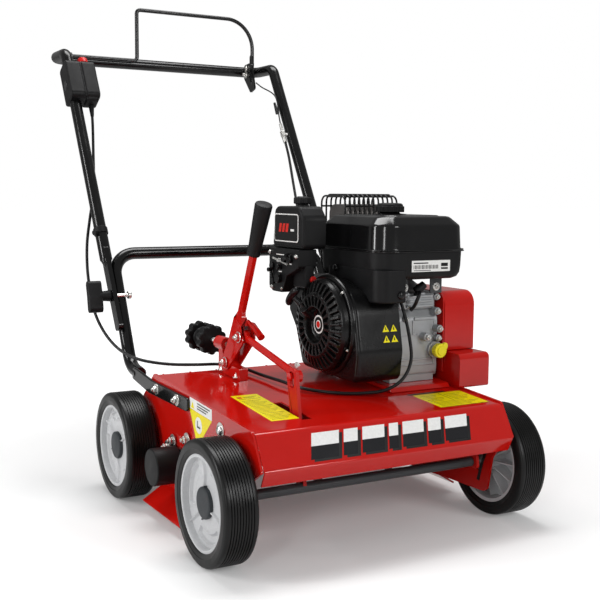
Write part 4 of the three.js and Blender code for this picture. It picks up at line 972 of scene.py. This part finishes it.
# ---------------------------------------------------------------- rotor, belt drive and rear flap
def make_rotor():
    for name, side in (("left", -1), ("right", 1)):
        flange = Piece(f"bearing_{name}", GLOSS_BLACK).add(from_cad(f"bearing_housing_{name}"), edge=0.8)
        for y, z in ((282, 118), (254, 136), (190, 152)):
            bolt(flange, (side * (SIDE_OUT + 3), y, z), (side, 0, 0), 13)
        flange.made(f"bearing_housing_{name}", "black_paint")
    cap = [(0, -300), (30.5, -300), (32.2, -299.2), (33, -297.4), (33, -254), (32, -252.6), (0, -252.6)]
    cover = Piece("shaft_cap", BLACK).add(turned(cap, "x", (0, *ROTOR), 72))
    cover.made("shaft_end_cover", "black_plastic")
    for row in (("rotor_blades", "rotor", "zinc_steel", DARK_STEEL, 0.5),
                ("rotor_shaft", "rotor", "zinc_steel", STEEL, 0.5),
                ("rotor_pulley", "rotor", "zinc_steel", CASTING, 0.4),
                ("crank_pulley", "crankshaft", "zinc_steel", CASTING, 0.4),
                ("drive_belt", "chassis", "black_rubber", CABLE_RUBBER, 0.6),
                ("belt_backplate", "chassis", "red_paint", RED, 0.6),
                ("tensioner_arm", "tensioner", "zinc_steel", ZINC, 0.5),
                ("idler_pulley", "idler", "zinc_steel", CASTING, 0.4)):
        refined(*row)


def eased(outline, low, high, width, side, steps=8, arc=6):
    """A slab across X with the edges of its end face on one side rounded well over."""
    end = low if side < 0 else high
    near = lambda e: all(abs(v.co.x - end * MM) < 0.1 * MM for v in e.verts)
    return softened(slab(outline, "x", low, high, steps=steps), width, arc, 30, near)


def make_belt_covers():
    lower = [(56, 222, 4), (56, 285, 10), (302, 285, 3), (302, 150, 20), (288, 46, 40), (172, 46, 40),
             (160, 150, 20), (120, 222, 14)]
    upper = [(104, 285.4, 2), (104, 396, 26), (300, 396, 26), (300, 285.4, 2)]
    for name, outline, round_off, bolts in (
            ("lower", lower, 13, ((84, 262), (276, 262), (274, 84), (190, 84))),
            ("upper", upper, 14, ((124, 306), (280, 306), (202, 378)))):
        cover = Piece(f"belt_guard_{name}", RED).add(eased(outline, 236.2, 306, round_off, 1))
        for y, z in bolts:
            bolt(cover, (305.8, y, z), (1, 0, 0), 8)
        cover.made(f"belt_cover_{name}", "red_paint")


def make_rear_flap():
    edge, ribs = SIDE_IN - 2, 9
    sheet = [(361, 233, 2), (369, 235, 2), (434, 172, 6), (452, 62, 2), (447.5, 61.5), (430, 171, 6),
             (366, 231.5), (361, 229)]
    flap = Piece("debris_flap", RED).add(slab(sheet, "x", -edge, edge), edge=0.6)
    for k in range(ribs):
        x = -edge + 20 + (2 * edge - 40) * k / (ribs - 1)
        rib = [(368, 235), (372, 236), (437, 173, 6), (454, 66), (451, 65), (433, 172)]
        flap.add(slab(rib, "x", x - 1.5, x + 1.5), edge=0.4)
    flap.made("rear_flap", "red_paint", "rear_flap")
    end = SIDE_IN - 0.5
    hinge = Piece("flap_hinge_rod", ZINC).add(rod((-end, 364, 229), (end, 364, 229), 3.5), edge=0.5)
    hinge.made("flap_rod", "zinc_steel")


# ---------------------------------------------------------------- engine
CRANK = (168, 340)
TANK_X, TANK_Y = (50, 248), (48, 272)
TANK_LOW, TANK_SEAM, TANK_TOP = 425, 475, 538
PAN_FRONT = TANK_Y[0] + 5.4
FAN_FACE, FAN_BACK = 14.5, 113.2
FILTER_TOP = 553
LID, FILTER_KNOB = (152, 168), (6, 240)  # x and y of the fuel cap and of the air cleaner's knob
OIL_X, OIL_Z = 212, 290


def plan(inset, radius):
    """The tank's outline in plan, drawn in by an inset."""
    (x0, x1), (y0, y1) = (TANK_X[0] + inset, TANK_X[1] - inset), (TANK_Y[0] + inset, TANK_Y[1] - inset)
    return [(x0, y0, radius * 1.6), (x1, y0, radius), (x1, y1, radius), (x0, y1, radius)]


def make_tank():
    tank = Piece("fuel_tank_shell", GLOSS_BLACK)

    def shell(level, *rows):
        return lofted([(level + rise, plan(inset, radius)) for rise, inset, radius in rows])

    tank.add(shell(TANK_LOW, (0.4, 20, 14), (4, 12, 19), (12, 7.5, 22), (24, 6, 23), (49, 5, 24),
                   (50, 5.5, 24)), BLACK)
    tank.add(slab(plan(0.5, 27), "z", TANK_SEAM, TANK_SEAM + 1.8, steps=10), edge=0.6)
    tank.add(slab(plan(1.5, 26), "z", TANK_SEAM + 2.4, TANK_SEAM + 4.6, steps=10), edge=0.8)
    tank.add(shell(TANK_TOP, (-59, 4, 25), (-57, 6, 24), (-19, 7.5, 24), (-16, 8.6, 24), (-13.5, 11, 23),
                   (-4, 20.5, 19), (-1.4, 24, 17), (-0.4, 29, 14)))
    tank.add(shell(TANK_TOP, (-1, 36, 18), (0.6, 38, 17), (1.2, 40, 16)))
    neck = [(0, 0), (31, 0), (30, 2.4), (20, 3), (18, 5), (0, 5)]
    tank.add(turned(neck, "z", (*LID, TANK_TOP), 48))
    left = TANK_X[0] + 5.4
    apron = [(left, PAN_FRONT, 26), (112, PAN_FRONT, 4), (112, 240, 6), (left, 240, 20)]
    tank.add(lofted([(level, apron) for level in (386, 390, TANK_LOW + 20)]), BLACK, edge=3, steps=3)
    for place, direction in (((100, PAN_FRONT, 400), (0, -1, 0)), ((left, 200, 440), (-1, 0, 0))):
        stud = [(0, 0), (7, 0), (7.4, 1), (6.6, 3), (4, 4.4), (0, 4.8)]
        tank.add(aimed(stud, at(*place), direction, 32), SMOOTH_BLACK)
    tank.made("fuel_tank", "black_paint")

    low = TANK_TOP + 5.4
    cap = Piece("fuel_lid", BLACK).add(lobed("z", LID, 27, 1.6, 16, low, low + 11, 1.0))
    crown = [(0, 10.5), (24.5, 10.5), (24, 14), (21, 16.2), (12, 17), (0, 17)]
    cap.add(turned(crown, "z", (*LID, low), 48))
    cap.made("fuel_cap", "black_plastic", "fuel_cap")

    bars = [(4 + 2.6 * k, 5, 0.9 + 0.7 * (k * 5 % 3) / 2, 7, INK) for k in range(21)]
    sticker("engine_plate", at(122, PAN_FRONT, 440), RIGHT, UP, (84, 20), WHITE_FILM,
            [*lines(4, 14.5, 44, 1, 1, 2), *bars, *lines(4, 1.8, 52, 1), (64, 4, 15, 3, INK),
             (64, 9, 15, 6, INK)])


def fan_face(radius, angle):
    """How far the recoil cover stands out at a radius: a sunk middle, a crown and two rings of slots."""
    knots = [(0, 8), (27, 8), (30, 12), (32, 22), (34, 24), (56, 24), (60, 22.8), (76, 17), (81, 13), (84, 8)]
    height = knots[-1][1]
    for (r0, h0), (r1, h1) in zip(knots, knots[1:]):
        if radius <= r1:
            height = h0 + (h1 - h0) * (radius - r0) / (r1 - r0)
            break
    for inner, outer, count, share in ((37, 54, 24, 0.52), (59.5, 79, 36, 0.5)):
        if inner < radius < outer and (angle * count / (2 * pi)) % 1 < share:
            return height - 7
    return height


def make_blower():
    outline = [(64, 300, 40), (72, 244, 18), (264, 250, 18), (292, 320, 14), (318, 352, 8), (318, 421, 12),
               (160, 421, 20), (84, 400, 60)]
    housing = Piece("fan_shroud", SATIN_BLACK).add(eased(outline, FAN_FACE + 5.5, FAN_BACK, 9, -1, 14, 5))
    face = (0, *CRANK)
    rim = [(0, 0), (86, 0), (89.5, 0.8), (91.6, 3.2), (92, 7.4), (90.5, 11.4), (84, 13.4), (0, 13.4)]
    housing.add(turned([(r, FAN_FACE + 0.1 + d) for r, d in rim], "x", face, 120))
    for k in range(5):
        angle = 2 * pi * (k + 0.4) / 5
        place = (FAN_FACE, CRANK[0] + 86.5 * sin(angle), CRANK[1] + 86.5 * cos(angle))
        bolt(housing, place, (-1, 0, 0), 5, washer=False)
    up = Vector((0, 0.196, 0.981))
    for x in (74, 91):
        for z in (316, 334.5):
            corner = at(x, 64 + 0.2 * (z - 300) - 0.3, z)
            housing.add(film(corner, RIGHT, up, [(0, 0), (14, 0), (7, 12.5)], 0.0, 0.5), YELLOW_FILM)
            housing.add(film(corner, RIGHT, up, [(5.6, 3), (8.4, 3), (7.6, 8.6), (6.4, 8.6)], 0.3, 0.62), INK)
    housing.made("blower_housing", "black_plastic")

    cover = Piece("recoil_grille", SATIN_BLACK)
    cover.add(relief((FAN_FACE - 0.9, *CRANK), -1, 0.01, 84, fan_face, 84, 432))
    cover.add(turned([(84, 13.6), (84, 5.6), (82, 5.8), (82, 13.6)], "x", face, 120))
    cover.add(turned([(25, 6.2), (27, 3.4), (29.4, 2.6), (29.4, 6.2)], "x", face, 64))
    badge = at(5.4, CRANK[0] + 20, CRANK[1] - 12)
    for radius, low, ink in ((17, 0, WHITE_FILM), (14, 0.3, INK), (8, 0.6, WHITE_FILM), (6, 0.9, RED_INK)):
        cover.add(film(badge, FORWARD, UP, circle(radius, 48, 12, 12), low, low + 0.4), ink)
    cover.add(rod((8, 200, 350), (-13, 199, 368), 9, 32), SMOOTH_BLACK, edge=1.4)
    cover.made("recoil_cover", "black_plastic")


def make_starter():
    """The pull handle, across the rope's end, and the rope behind it."""
    pull, across = Vector((-0.62, 0.4, 0.675)).normalized(), Vector((0, 0.762, -0.647))
    start = at(-20, 199, 377)
    along = lambda distance: start + pull * distance * MM
    grip = Piece("rope_handle", SMOOTH_BLACK).add(swept([start, along(20)], 0, 28, lambda t: 6.4 - 2 * t))
    path = [along(22) + across * (d * MM) - pull * (abs(d) / 24) ** 2 * 4 * MM for d in range(-24, 25, 2)]

    def girth(share):
        out = abs(2 * share - 1)
        return 7.6 * (1 - 0.55 * out ** 6) - 0.8 * (1 - out)

    grip.add(swept(path, 0, 28, girth))
    grip.made("starter_grip", "black_plastic", "starter_grip")
    rope = Piece("starter_rope", CABLE_RUBBER).add(swept([along(-9), along(4)], 2, 12)).loose()
    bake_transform(rope)


def make_air_cleaner():
    outline = [(195, 475, 10), (195, 533, 18), (213, FILTER_TOP, 16), (307, FILTER_TOP, 14), (315, 475, 10)]
    cover = Piece("air_box", BLACK).add(eased(outline, -18, 30, 7, -1, 10, 5))
    plate = rounded([(*c, 6) for c in oblong(0, 0, 92, 52)])
    inner = rounded([(*c, 4.5) for c in oblong(2, 2, 88, 48)])
    slants = [[(x, 18), (x + 9, 18), (x + 13, 34), (x + 4, 34)] for x in (18, 31, 44)]
    for shape, low, high, ink in ((plate, -0.5, 0.7, WHITE_FILM), (inner, 0, 1.0, INK),
                                  *((slant, 0.8, 1.25, RED_INK) for slant in slants),
                                  (oblong(64, 20, 13, 4), 0.8, 1.25, WHITE_FILM)):
        cover.add(film(at(-18, 304, 487), FORWARD, UP, shape, low, high), ink)
    cover.add(slab([(199, 477), (199, 480), (311, 480), (311, 477)], "x", -19, 29.6), SMOOTH_BLACK, edge=0.6)
    cover.made("air_cleaner_cover", "black_plastic")
    foot = FILTER_TOP + 0.4
    knob = Piece("air_box_knob", BLACK)
    knob.add(turned([(0, 0), (10, 0), (9, 4), (0, 4)], "z", (*FILTER_KNOB, foot), 40))
    knob.add(lobed("z", FILTER_KNOB, 17, 1.8, 8, foot + 4, foot + 16, 2.2))
    knob.add(turned([(0, 15.5), (11, 16), (9, 18), (0, 18)], "z", (*FILTER_KNOB, foot), 40))
    knob.made("air_cleaner_knob", "black_plastic", "air_cleaner_knob")


def make_carburettor():
    body = Piece("control_panel", BLACK).add(from_cad("carburettor"), edge=1.2)
    outer = -24
    for y, z, size in ((206, 462, 7), (308, 466, 7), (300, 400, 7), (262, 400, 5)):
        bolt(body, (outer, y, z), (-1, 0, 0), size, washer=False)
    marks = ((286, 462, 34, 1.6), (284, 449, 26, 2), (280, 454, 12, 1.4), (302, 412, 2, 22),
             (276, 430, 12, 2), (276, 424, 8, 2), (240, 462, 12, 2), (234, 446, 8, 2))
    for y, z, width, height in marks:
        body.add(film(at(outer, y, z), FORWARD, UP, oblong(0, 0, width, height), 0, 0.4), WHITE_FILM)
    body.add(rod((outer - 4, 292, 456), (outer - 4, 236, 446), 1.8, 14), ZINC)
    for y, z, radius, reach in ((272, 418, 9, 8), (230, 456, 8, 6), (300, 440, 7, 5), (268, 440, 5, 9)):
        body.add(rod((outer + 2, y, z), (outer - reach, y, z), radius, 30), SMOOTH_BLACK, edge=1.2)
    body.add(rod((6, 196, 420), (6, 204, 420), 6, 20), RED_PLASTIC, edge=0.8)
    body.add(block(-10, 10, 200, 246, 404, 446), edge=3)
    body.made("carburettor", "black_plastic")
    for lever in ("choke_lever", "throttle_lever"):
        refined(lever, lever, "black_plastic", SMOOTH_BLACK, 0.8)


def make_crankcase():
    case = Piece("crankcase", CASTING).add(from_cad("engine_block"), edge=1.6, steps=3)
    front = 104
    for z in (276, 318):
        case.add(block(FAN_BACK + 1, 217, front - 1, front + 1.6, z, z + 1.8), edge=0.5)
    for x, low, high in ((120, 262, 344), (164, 320, 346), (212, 262, 344)):
        case.add(block(x - 2.2, x + 2.2, front - 1.6, front + 2, low, high), edge=0.9)
    for x, y, z, length, size in ((186, 104, 316, 16, 8), (214, 104, 330, 16, 7), (214, 116, 362, 20, 7),
                                  (216, 104, 312, 10, 6.5), (218, 128, 388, 24, 6.5), (146, 108, 350, 8, 6),
                                  (OIL_X, 104, OIL_Z, 6, 16)):
        case.add(rod((x, y + 6, z), (x, y - length, z), size, 32), edge=1.2)
        if size < 10:
            bolt(case, (x, y - length, z), (0, -1, 0), size * 1.2, washer=False)
    case.add(block(166, 212, front - 2.4, front + 2, 346, 352), edge=1)
    # A dark steel strip at the joint with the fan housing: painted shade for the gap between them.
    case.add(block(FAN_BACK + 0.6, 120, front - 3, front + 4, 252, 350), DARK_STEEL, edge=1.2)
    for z in (262, 272):
        case.add(block(122, 210, front - 1.2, front + 1, z, z + 3), edge=0.8)
    for x in (124, 200):
        bolt(case, (x, 117, deck_top(110, 21)), (0, 0, 1), 10)
    for x0, x1 in ((130, 146), (196, 222)):
        strap = [(97, 396), (97, 427), (120, 427), (120, 424), (100, 424), (100, 396)]
        case.add(slab(strap, "x", x0, x1), GREY_PAINT, edge=0.6)
        bolt(case, ((x0 + x1) / 2, 97, 408), (0, -1, 0), 8)
    case.add(block(134, 216, 108, 150, 366, 398), edge=4, steps=3)
    for z in (370, 379, 388):
        case.add(block(150, 208, 104, 110, z, z + 4), edge=1)
    lead = [at(170, 110, 392), at(168, 92, 400), at(160, 84, 392), at(158, 92, 376), at(160, 106, 366)]
    case.add(swept(flowing(lead, 8), 3.4, 16), CABLE_RUBBER)
    case.add(rod((166, 100, 400), (182, 96, 414), 9, 28, end_radius=7), BLACK, edge=1.6)
    case.made("engine_block", "cast_aluminium")

    cap = Piece("oil_dipstick_cap", YELLOW)
    centre = (OIL_X, 0, OIL_Z)
    cap.add(turned([(0, 95.6), (11, 95.6), (11, 91), (0, 91)], "y", centre, 40))
    cap.add(lobed("y", (OIL_Z, OIL_X), 13.4, 0.9, 20, 81.5, 91.5, 1.0))
    ear = [(292, 210, 3), (304, 219, 4), (306, 228, 5), (294, 226, 4), (286, 216, 3)]
    cap.add(slab(ear, "y", 80, 87), edge=1.4)
    cap.add(turned([(0, 82), (9, 82), (8, 78.8), (0, 78.6)], "y", centre, 40))
    cap.made("oil_cap", "yellow_plastic", "oil_cap")


def make_muffler():
    side = [(300, 446, 14), (300, 556, 20), (372, 556, 20), (372, 446, 14)]
    can = Piece("silencer", DARK_STEEL).add(slab(side, "x", 142, 244, steps=8), edge=3, steps=3)
    can.add(rod((170, 314, 424.5), (170, 314, 450), 11, 32), edge=1)
    can.made("muffler", "zinc_steel")

    left, right, top, wire, loops = 132, 254, 575, 1.9, 12
    cage = Piece("silencer_cage", TUBE_BLACK)
    for k in range(loops):
        x = left + (right - left) * k / (loops - 1)
        height = top - (2.5 if k in (0, loops - 1) else 0)
        corners = [(x, 293, 438), (x, 293, height), (x, 384, height), (x, 384, 438)]
        cage.add(swept(bent(corners, 15, 6), wire, 12))
    under = top - 2 * wire
    for y, z in ((293, 444), (293, 500), (293, 552), (316, under), (338.5, under), (361, under),
                 (384, 552), (384, 500), (384, 444)):
        cage.add(rod((left - 1, y, z), (right + 1, y, z), wire, 12))
    cage.made("muffler_guard", "black_paint")


# ---------------------------------------------------------------- handle and its controls
TUBE_R = 12.5
LOWER_X, UPPER_X = 240, 258
GRIP_BAR = (935, 880)
BAIL_PIVOT = (914, 886)
WIRE_X = 236.5


def leg(x, z, along=0.0, across=0.0):
    """A point of an upper leg's axis at a height, moved along the leg and square to it towards the back."""
    slope = Vector((0, LEG_SLOPE, 1)).normalized()
    back = Vector((0, slope.z, -slope.y))
    return Vector((x, FOLD[0] - 4 + (z - FOLD[1]) * LEG_SLOPE, z)) + slope * along + back * across


def looped(*corners):
    """A tube's corners on the right, then the same ones on the left."""
    return [*corners, *((-x, y, z) for x, y, z in reversed(corners))]


def make_lower_handle():
    handle = Piece("lower_tube", TUBE_BLACK)
    corners = looped((LOWER_X, 440, 227), (LOWER_X, 492, 234), (LOWER_X, 597, 451))
    handle.add(swept(bent(corners, 48, 14), TUBE_R, 36))
    for side, front, bolts in ((-1, 182, ((325, 217), (228, 215))), (1, 310, ((350, 217),))):
        foot = [(front, 202, 8), (front, 226, 8), (352, 229, 10), (452, 240, 6), (456, 216, 6),
                (366, 203, 10)]
        handle.add(sided(foot, side, SIDE_OUT + 0.4, SIDE_OUT + 6), edge=1.6, steps=3)
        for y, z in bolts:
            bolt(handle, (side * (SIDE_OUT + 6), y, z), (side, 0, 0), 11)
    handle.made("lower_handle", "black_paint")


def make_upper_handle():
    handle = Piece("upper_tube", TUBE_BLACK)
    corners = looped(leg(UPPER_X, 440), leg(UPPER_X, GRIP_BAR[1]), (UPPER_X, *GRIP_BAR))
    handle.add(swept(bent(corners, 26, 12), TUBE_R, 36))
    for side in (1, -1):
        ends = [(*leg(0, z, across=across).yz, radius) for z, across, radius in
                ((306, 12.6, 9), (306, -12.6, 9), (462, -12.6, 4), (462, 12.6, 4))]
        flat = sided(ends, side, UPPER_X - 4.5, UPPER_X + 4.5, [circle(4.4, 20, *FOLD)], 8)
        handle.add(flat, edge=1.8, steps=3)
        neck = [at(*leg(side * UPPER_X, z)) for z in (425, 430, 436, 442, 450, 458)]
        girth = lambda share: 4.6 + (TUBE_R - 4.6) * sin(min(1, share * 1.25) * pi / 2)
        handle.add(swept(neck, 0, 32, girth))
    y, z = BAIL_PIVOT
    plate = moved(BAIL_PIVOT, [(-44, -52, 6), (-24, 14, 12), (16, 10, 8), (16, -22, 8), (-20, -60, 6)])
    opening = rounded(moved(BAIL_PIVOT, [(-30, -38, 3), (-20, -8, 4), (-14, -8, 4), (-22, -40, 3)]))
    lug = moved(BAIL_PIVOT, [(-9, -9, 6), (-9, 9, 6), (16, 4, 2), (16, -14, 2)])
    pin_hole = circle(4.9, 24, y, z)
    handle.add(slab(plate, "x", 223, 227, [pin_hole, opening]), edge=0.8)
    handle.add(slab(lug, "x", -228, -224, [pin_hole]), edge=0.8)
    bolt(handle, (223, y + 6, z - 14), (-1, 0, 0), 9)
    add_adjuster(handle)
    handle.made("upper_handle", "black_paint", "upper_handle")


def add_adjuster(handle):
    """The clutch cable's screw adjuster and its clamp on the right leg."""
    x, z = WIRE_X, 716
    handle.add(rod(leg(x, z, -22), leg(x, z, 30), 3.6, 20), ZINC, edge=0.6)
    for low, high, size, sides in ((-22, -6, 5, 20), (-6, 2, 7, 6), (4, 8, 7, 6)):
        handle.add(rod(leg(x, z, low), leg(x, z, high), size, sides), ZINC, edge=0.5)
    handle.add(rod(leg(x + 2, z), leg(x + 12, z), 4.6, 20), ZINC, edge=0.6)


def make_wing_knobs():
    y, z = FOLD
    inner = LOWER_X - TUBE_R
    wing = moved(FOLD, [(-14, -31, 9), (3, -33, 9), (9, 0, 22), (18, 29, 9), (1, 31, 9), (-9, 0, 22)])
    for name, side in (("right", 1), ("left", -1)):
        knob = Piece(f"fold_knob_{name}", ZINC)

        def pin(start, end, *sizes, material=ZINC, edge=0.0, **ends):
            knob.add(rod((side * start, y, z), (side * end, y, z), *sizes, **ends), material, edge=edge)

        pin(inner - 8, UPPER_X + 12, 4, 20)
        pin(inner - 8, inner - 0.8, 8, 24, edge=1.5)
        pin(UPPER_X + 4.9, UPPER_X + 30, 11.5, 36, material=BLACK, edge=1.4, end_radius=9)
        knob.add(sided(wing, side, UPPER_X + 23, UPPER_X + 50, steps=8), BLACK, edge=4.5, steps=4)
        knob.made(f"wing_knob_{name}", "black_plastic", f"wing_knob_{name}")


def make_bail():
    y, z = BAIL_PIVOT
    inner, outer, top, size = -66, 238, 1004, 4.5
    bail = Piece("bail_wire", TUBE_BLACK)
    bail.add(swept(bent([(-236, y, z), (inner, y, z), (inner, y, top), (100, y, top)], 9, 8), size, 24))
    bail.add(swept(bent([(100, y, top), (outer, y, top), (outer, y, z)], 70, 20), size, 24))
    hook = moved(BAIL_PIVOT, [(-9, -14, 6), (-14, 10, 6), (-9, 36, 8), (5, 36, 8), (5, -14, 6)])
    bail.add(slab(hook, "x", outer - 5, outer - 1.5, steps=8), edge=1)
    bail.add(rod((218, y, z), (outer, y, z), size, 24), ZINC)
    for x in (219, outer - 1.5):
        bail.add(rod((x, y, z), (x + 3, y, z), 8, 6), ZINC, edge=0.6)
    bail.made("bail", "black_paint", "bail")

    knots = [leg(WIRE_X, 716, 28), leg(WIRE_X, 760, across=-4), leg(235, 800, across=-14),
             (230, 846, 836), (226, 868, 848)]
    wire = Piece("bail_pull_wire", CABLE_RUBBER).add(swept(flowing([at(*k) for k in knots], 8), 1.6, 12))
    boot = flowing([at(*leg(WIRE_X, 716, d)) for d in (60, 74, 90)], 4)
    wire.add(swept(boot, 0, 20, lambda share: 4.6 - 1.6 * share))
    wire.made(slot="black_rubber", body="upper_handle")


def make_switch():
    box = Piece("switch_case", BLACK)
    foot, head = (leg(0, z).yz for z in (768, 850))

    def profile(front, back, front_radius):
        """The case's side, which runs between two distances square to the leg's height."""
        rows = ((foot, -front, front_radius), (head, -front, front_radius), (head, back, 8), (foot, back, 8))
        return [(y + out, z - out * LEG_SLOPE, radius) for (y, z), out, radius in rows]

    left, right, split = -UPPER_X - 16, -UPPER_X + 50, -UPPER_X + 18
    for low, high in ((left, split - 0.5), (split + 0.5, right)):
        box.add(slab(profile(26, 18, 12), "x", low, high, steps=8), edge=4, steps=4)
    box.add(slab(profile(24, 16, 10), "x", left + 6, right - 6))
    bulge = [(foot.x - 20, 774, 8), (foot.x - 20, 792, 4), (foot.x + 14, 778, 4), (foot.x + 14, 752, 10)]
    box.add(slab(bulge, "x", -UPPER_X + 20, -UPPER_X + 46, steps=8), edge=4, steps=3)
    box.add(rod(leg(left - 1, 800, 4, -4), leg(left + 8, 800, 4, -4), 11, 32), SMOOTH_BLACK, edge=2, steps=3)
    box.add(rod((-224, 772, 762), (-226, 760, 740), 6, 20, end_radius=3.6), CABLE_RUBBER)
    for z in (784, 838):
        bolt(box, leg(right - 0.5, z), (1, 0, 0), 6, washer=False)
    box.made("switch_box", "black_plastic", "upper_handle")

    button = Piece("stop_push_button", RED_PLASTIC)
    x, z = -UPPER_X + 34, 852
    button.add(rod(leg(x, z, -8), leg(x, z, 9), 4.5, 24), edge=0.5)
    button.add(rod(leg(x, z, 6), leg(x, z, 20), 12, 40, end_radius=11), edge=3, steps=4)
    button.made("stop_button", "red_plastic", "stop_button")

    x, y, z = leg(-UPPER_X, 496)
    clip = Piece("cable_clip", BLACK)
    clip.add(swept([at(*leg(x, z, d)) for d in (-7, 7)], TUBE_R + 2.2, 36), edge=1)
    clip.add(rod((x, y, z), (x - 18, y - 12, z - 2), 6, 20), edge=1.5)
    clip.made(slot="black_plastic", body="upper_handle")


# ---------------------------------------------------------------- everything, in order
make_camera()
make_cable("stop_lead", STOP_LEAD)
make_cable("clutch_cable", CLUTCH_CABLE)
for make in (make_studio, make_wheels, make_deck, make_side_plates, make_labels, make_front_stripes,
             make_front_axle, make_height_lever, make_depth_screw, make_rotor, make_belt_covers,
             make_rear_flap, make_tank, make_blower, make_starter, make_air_cleaner, make_carburettor,
             make_crankcase, make_muffler, make_lower_handle, make_upper_handle, make_wing_knobs,
             make_bail, make_switch):
    make()
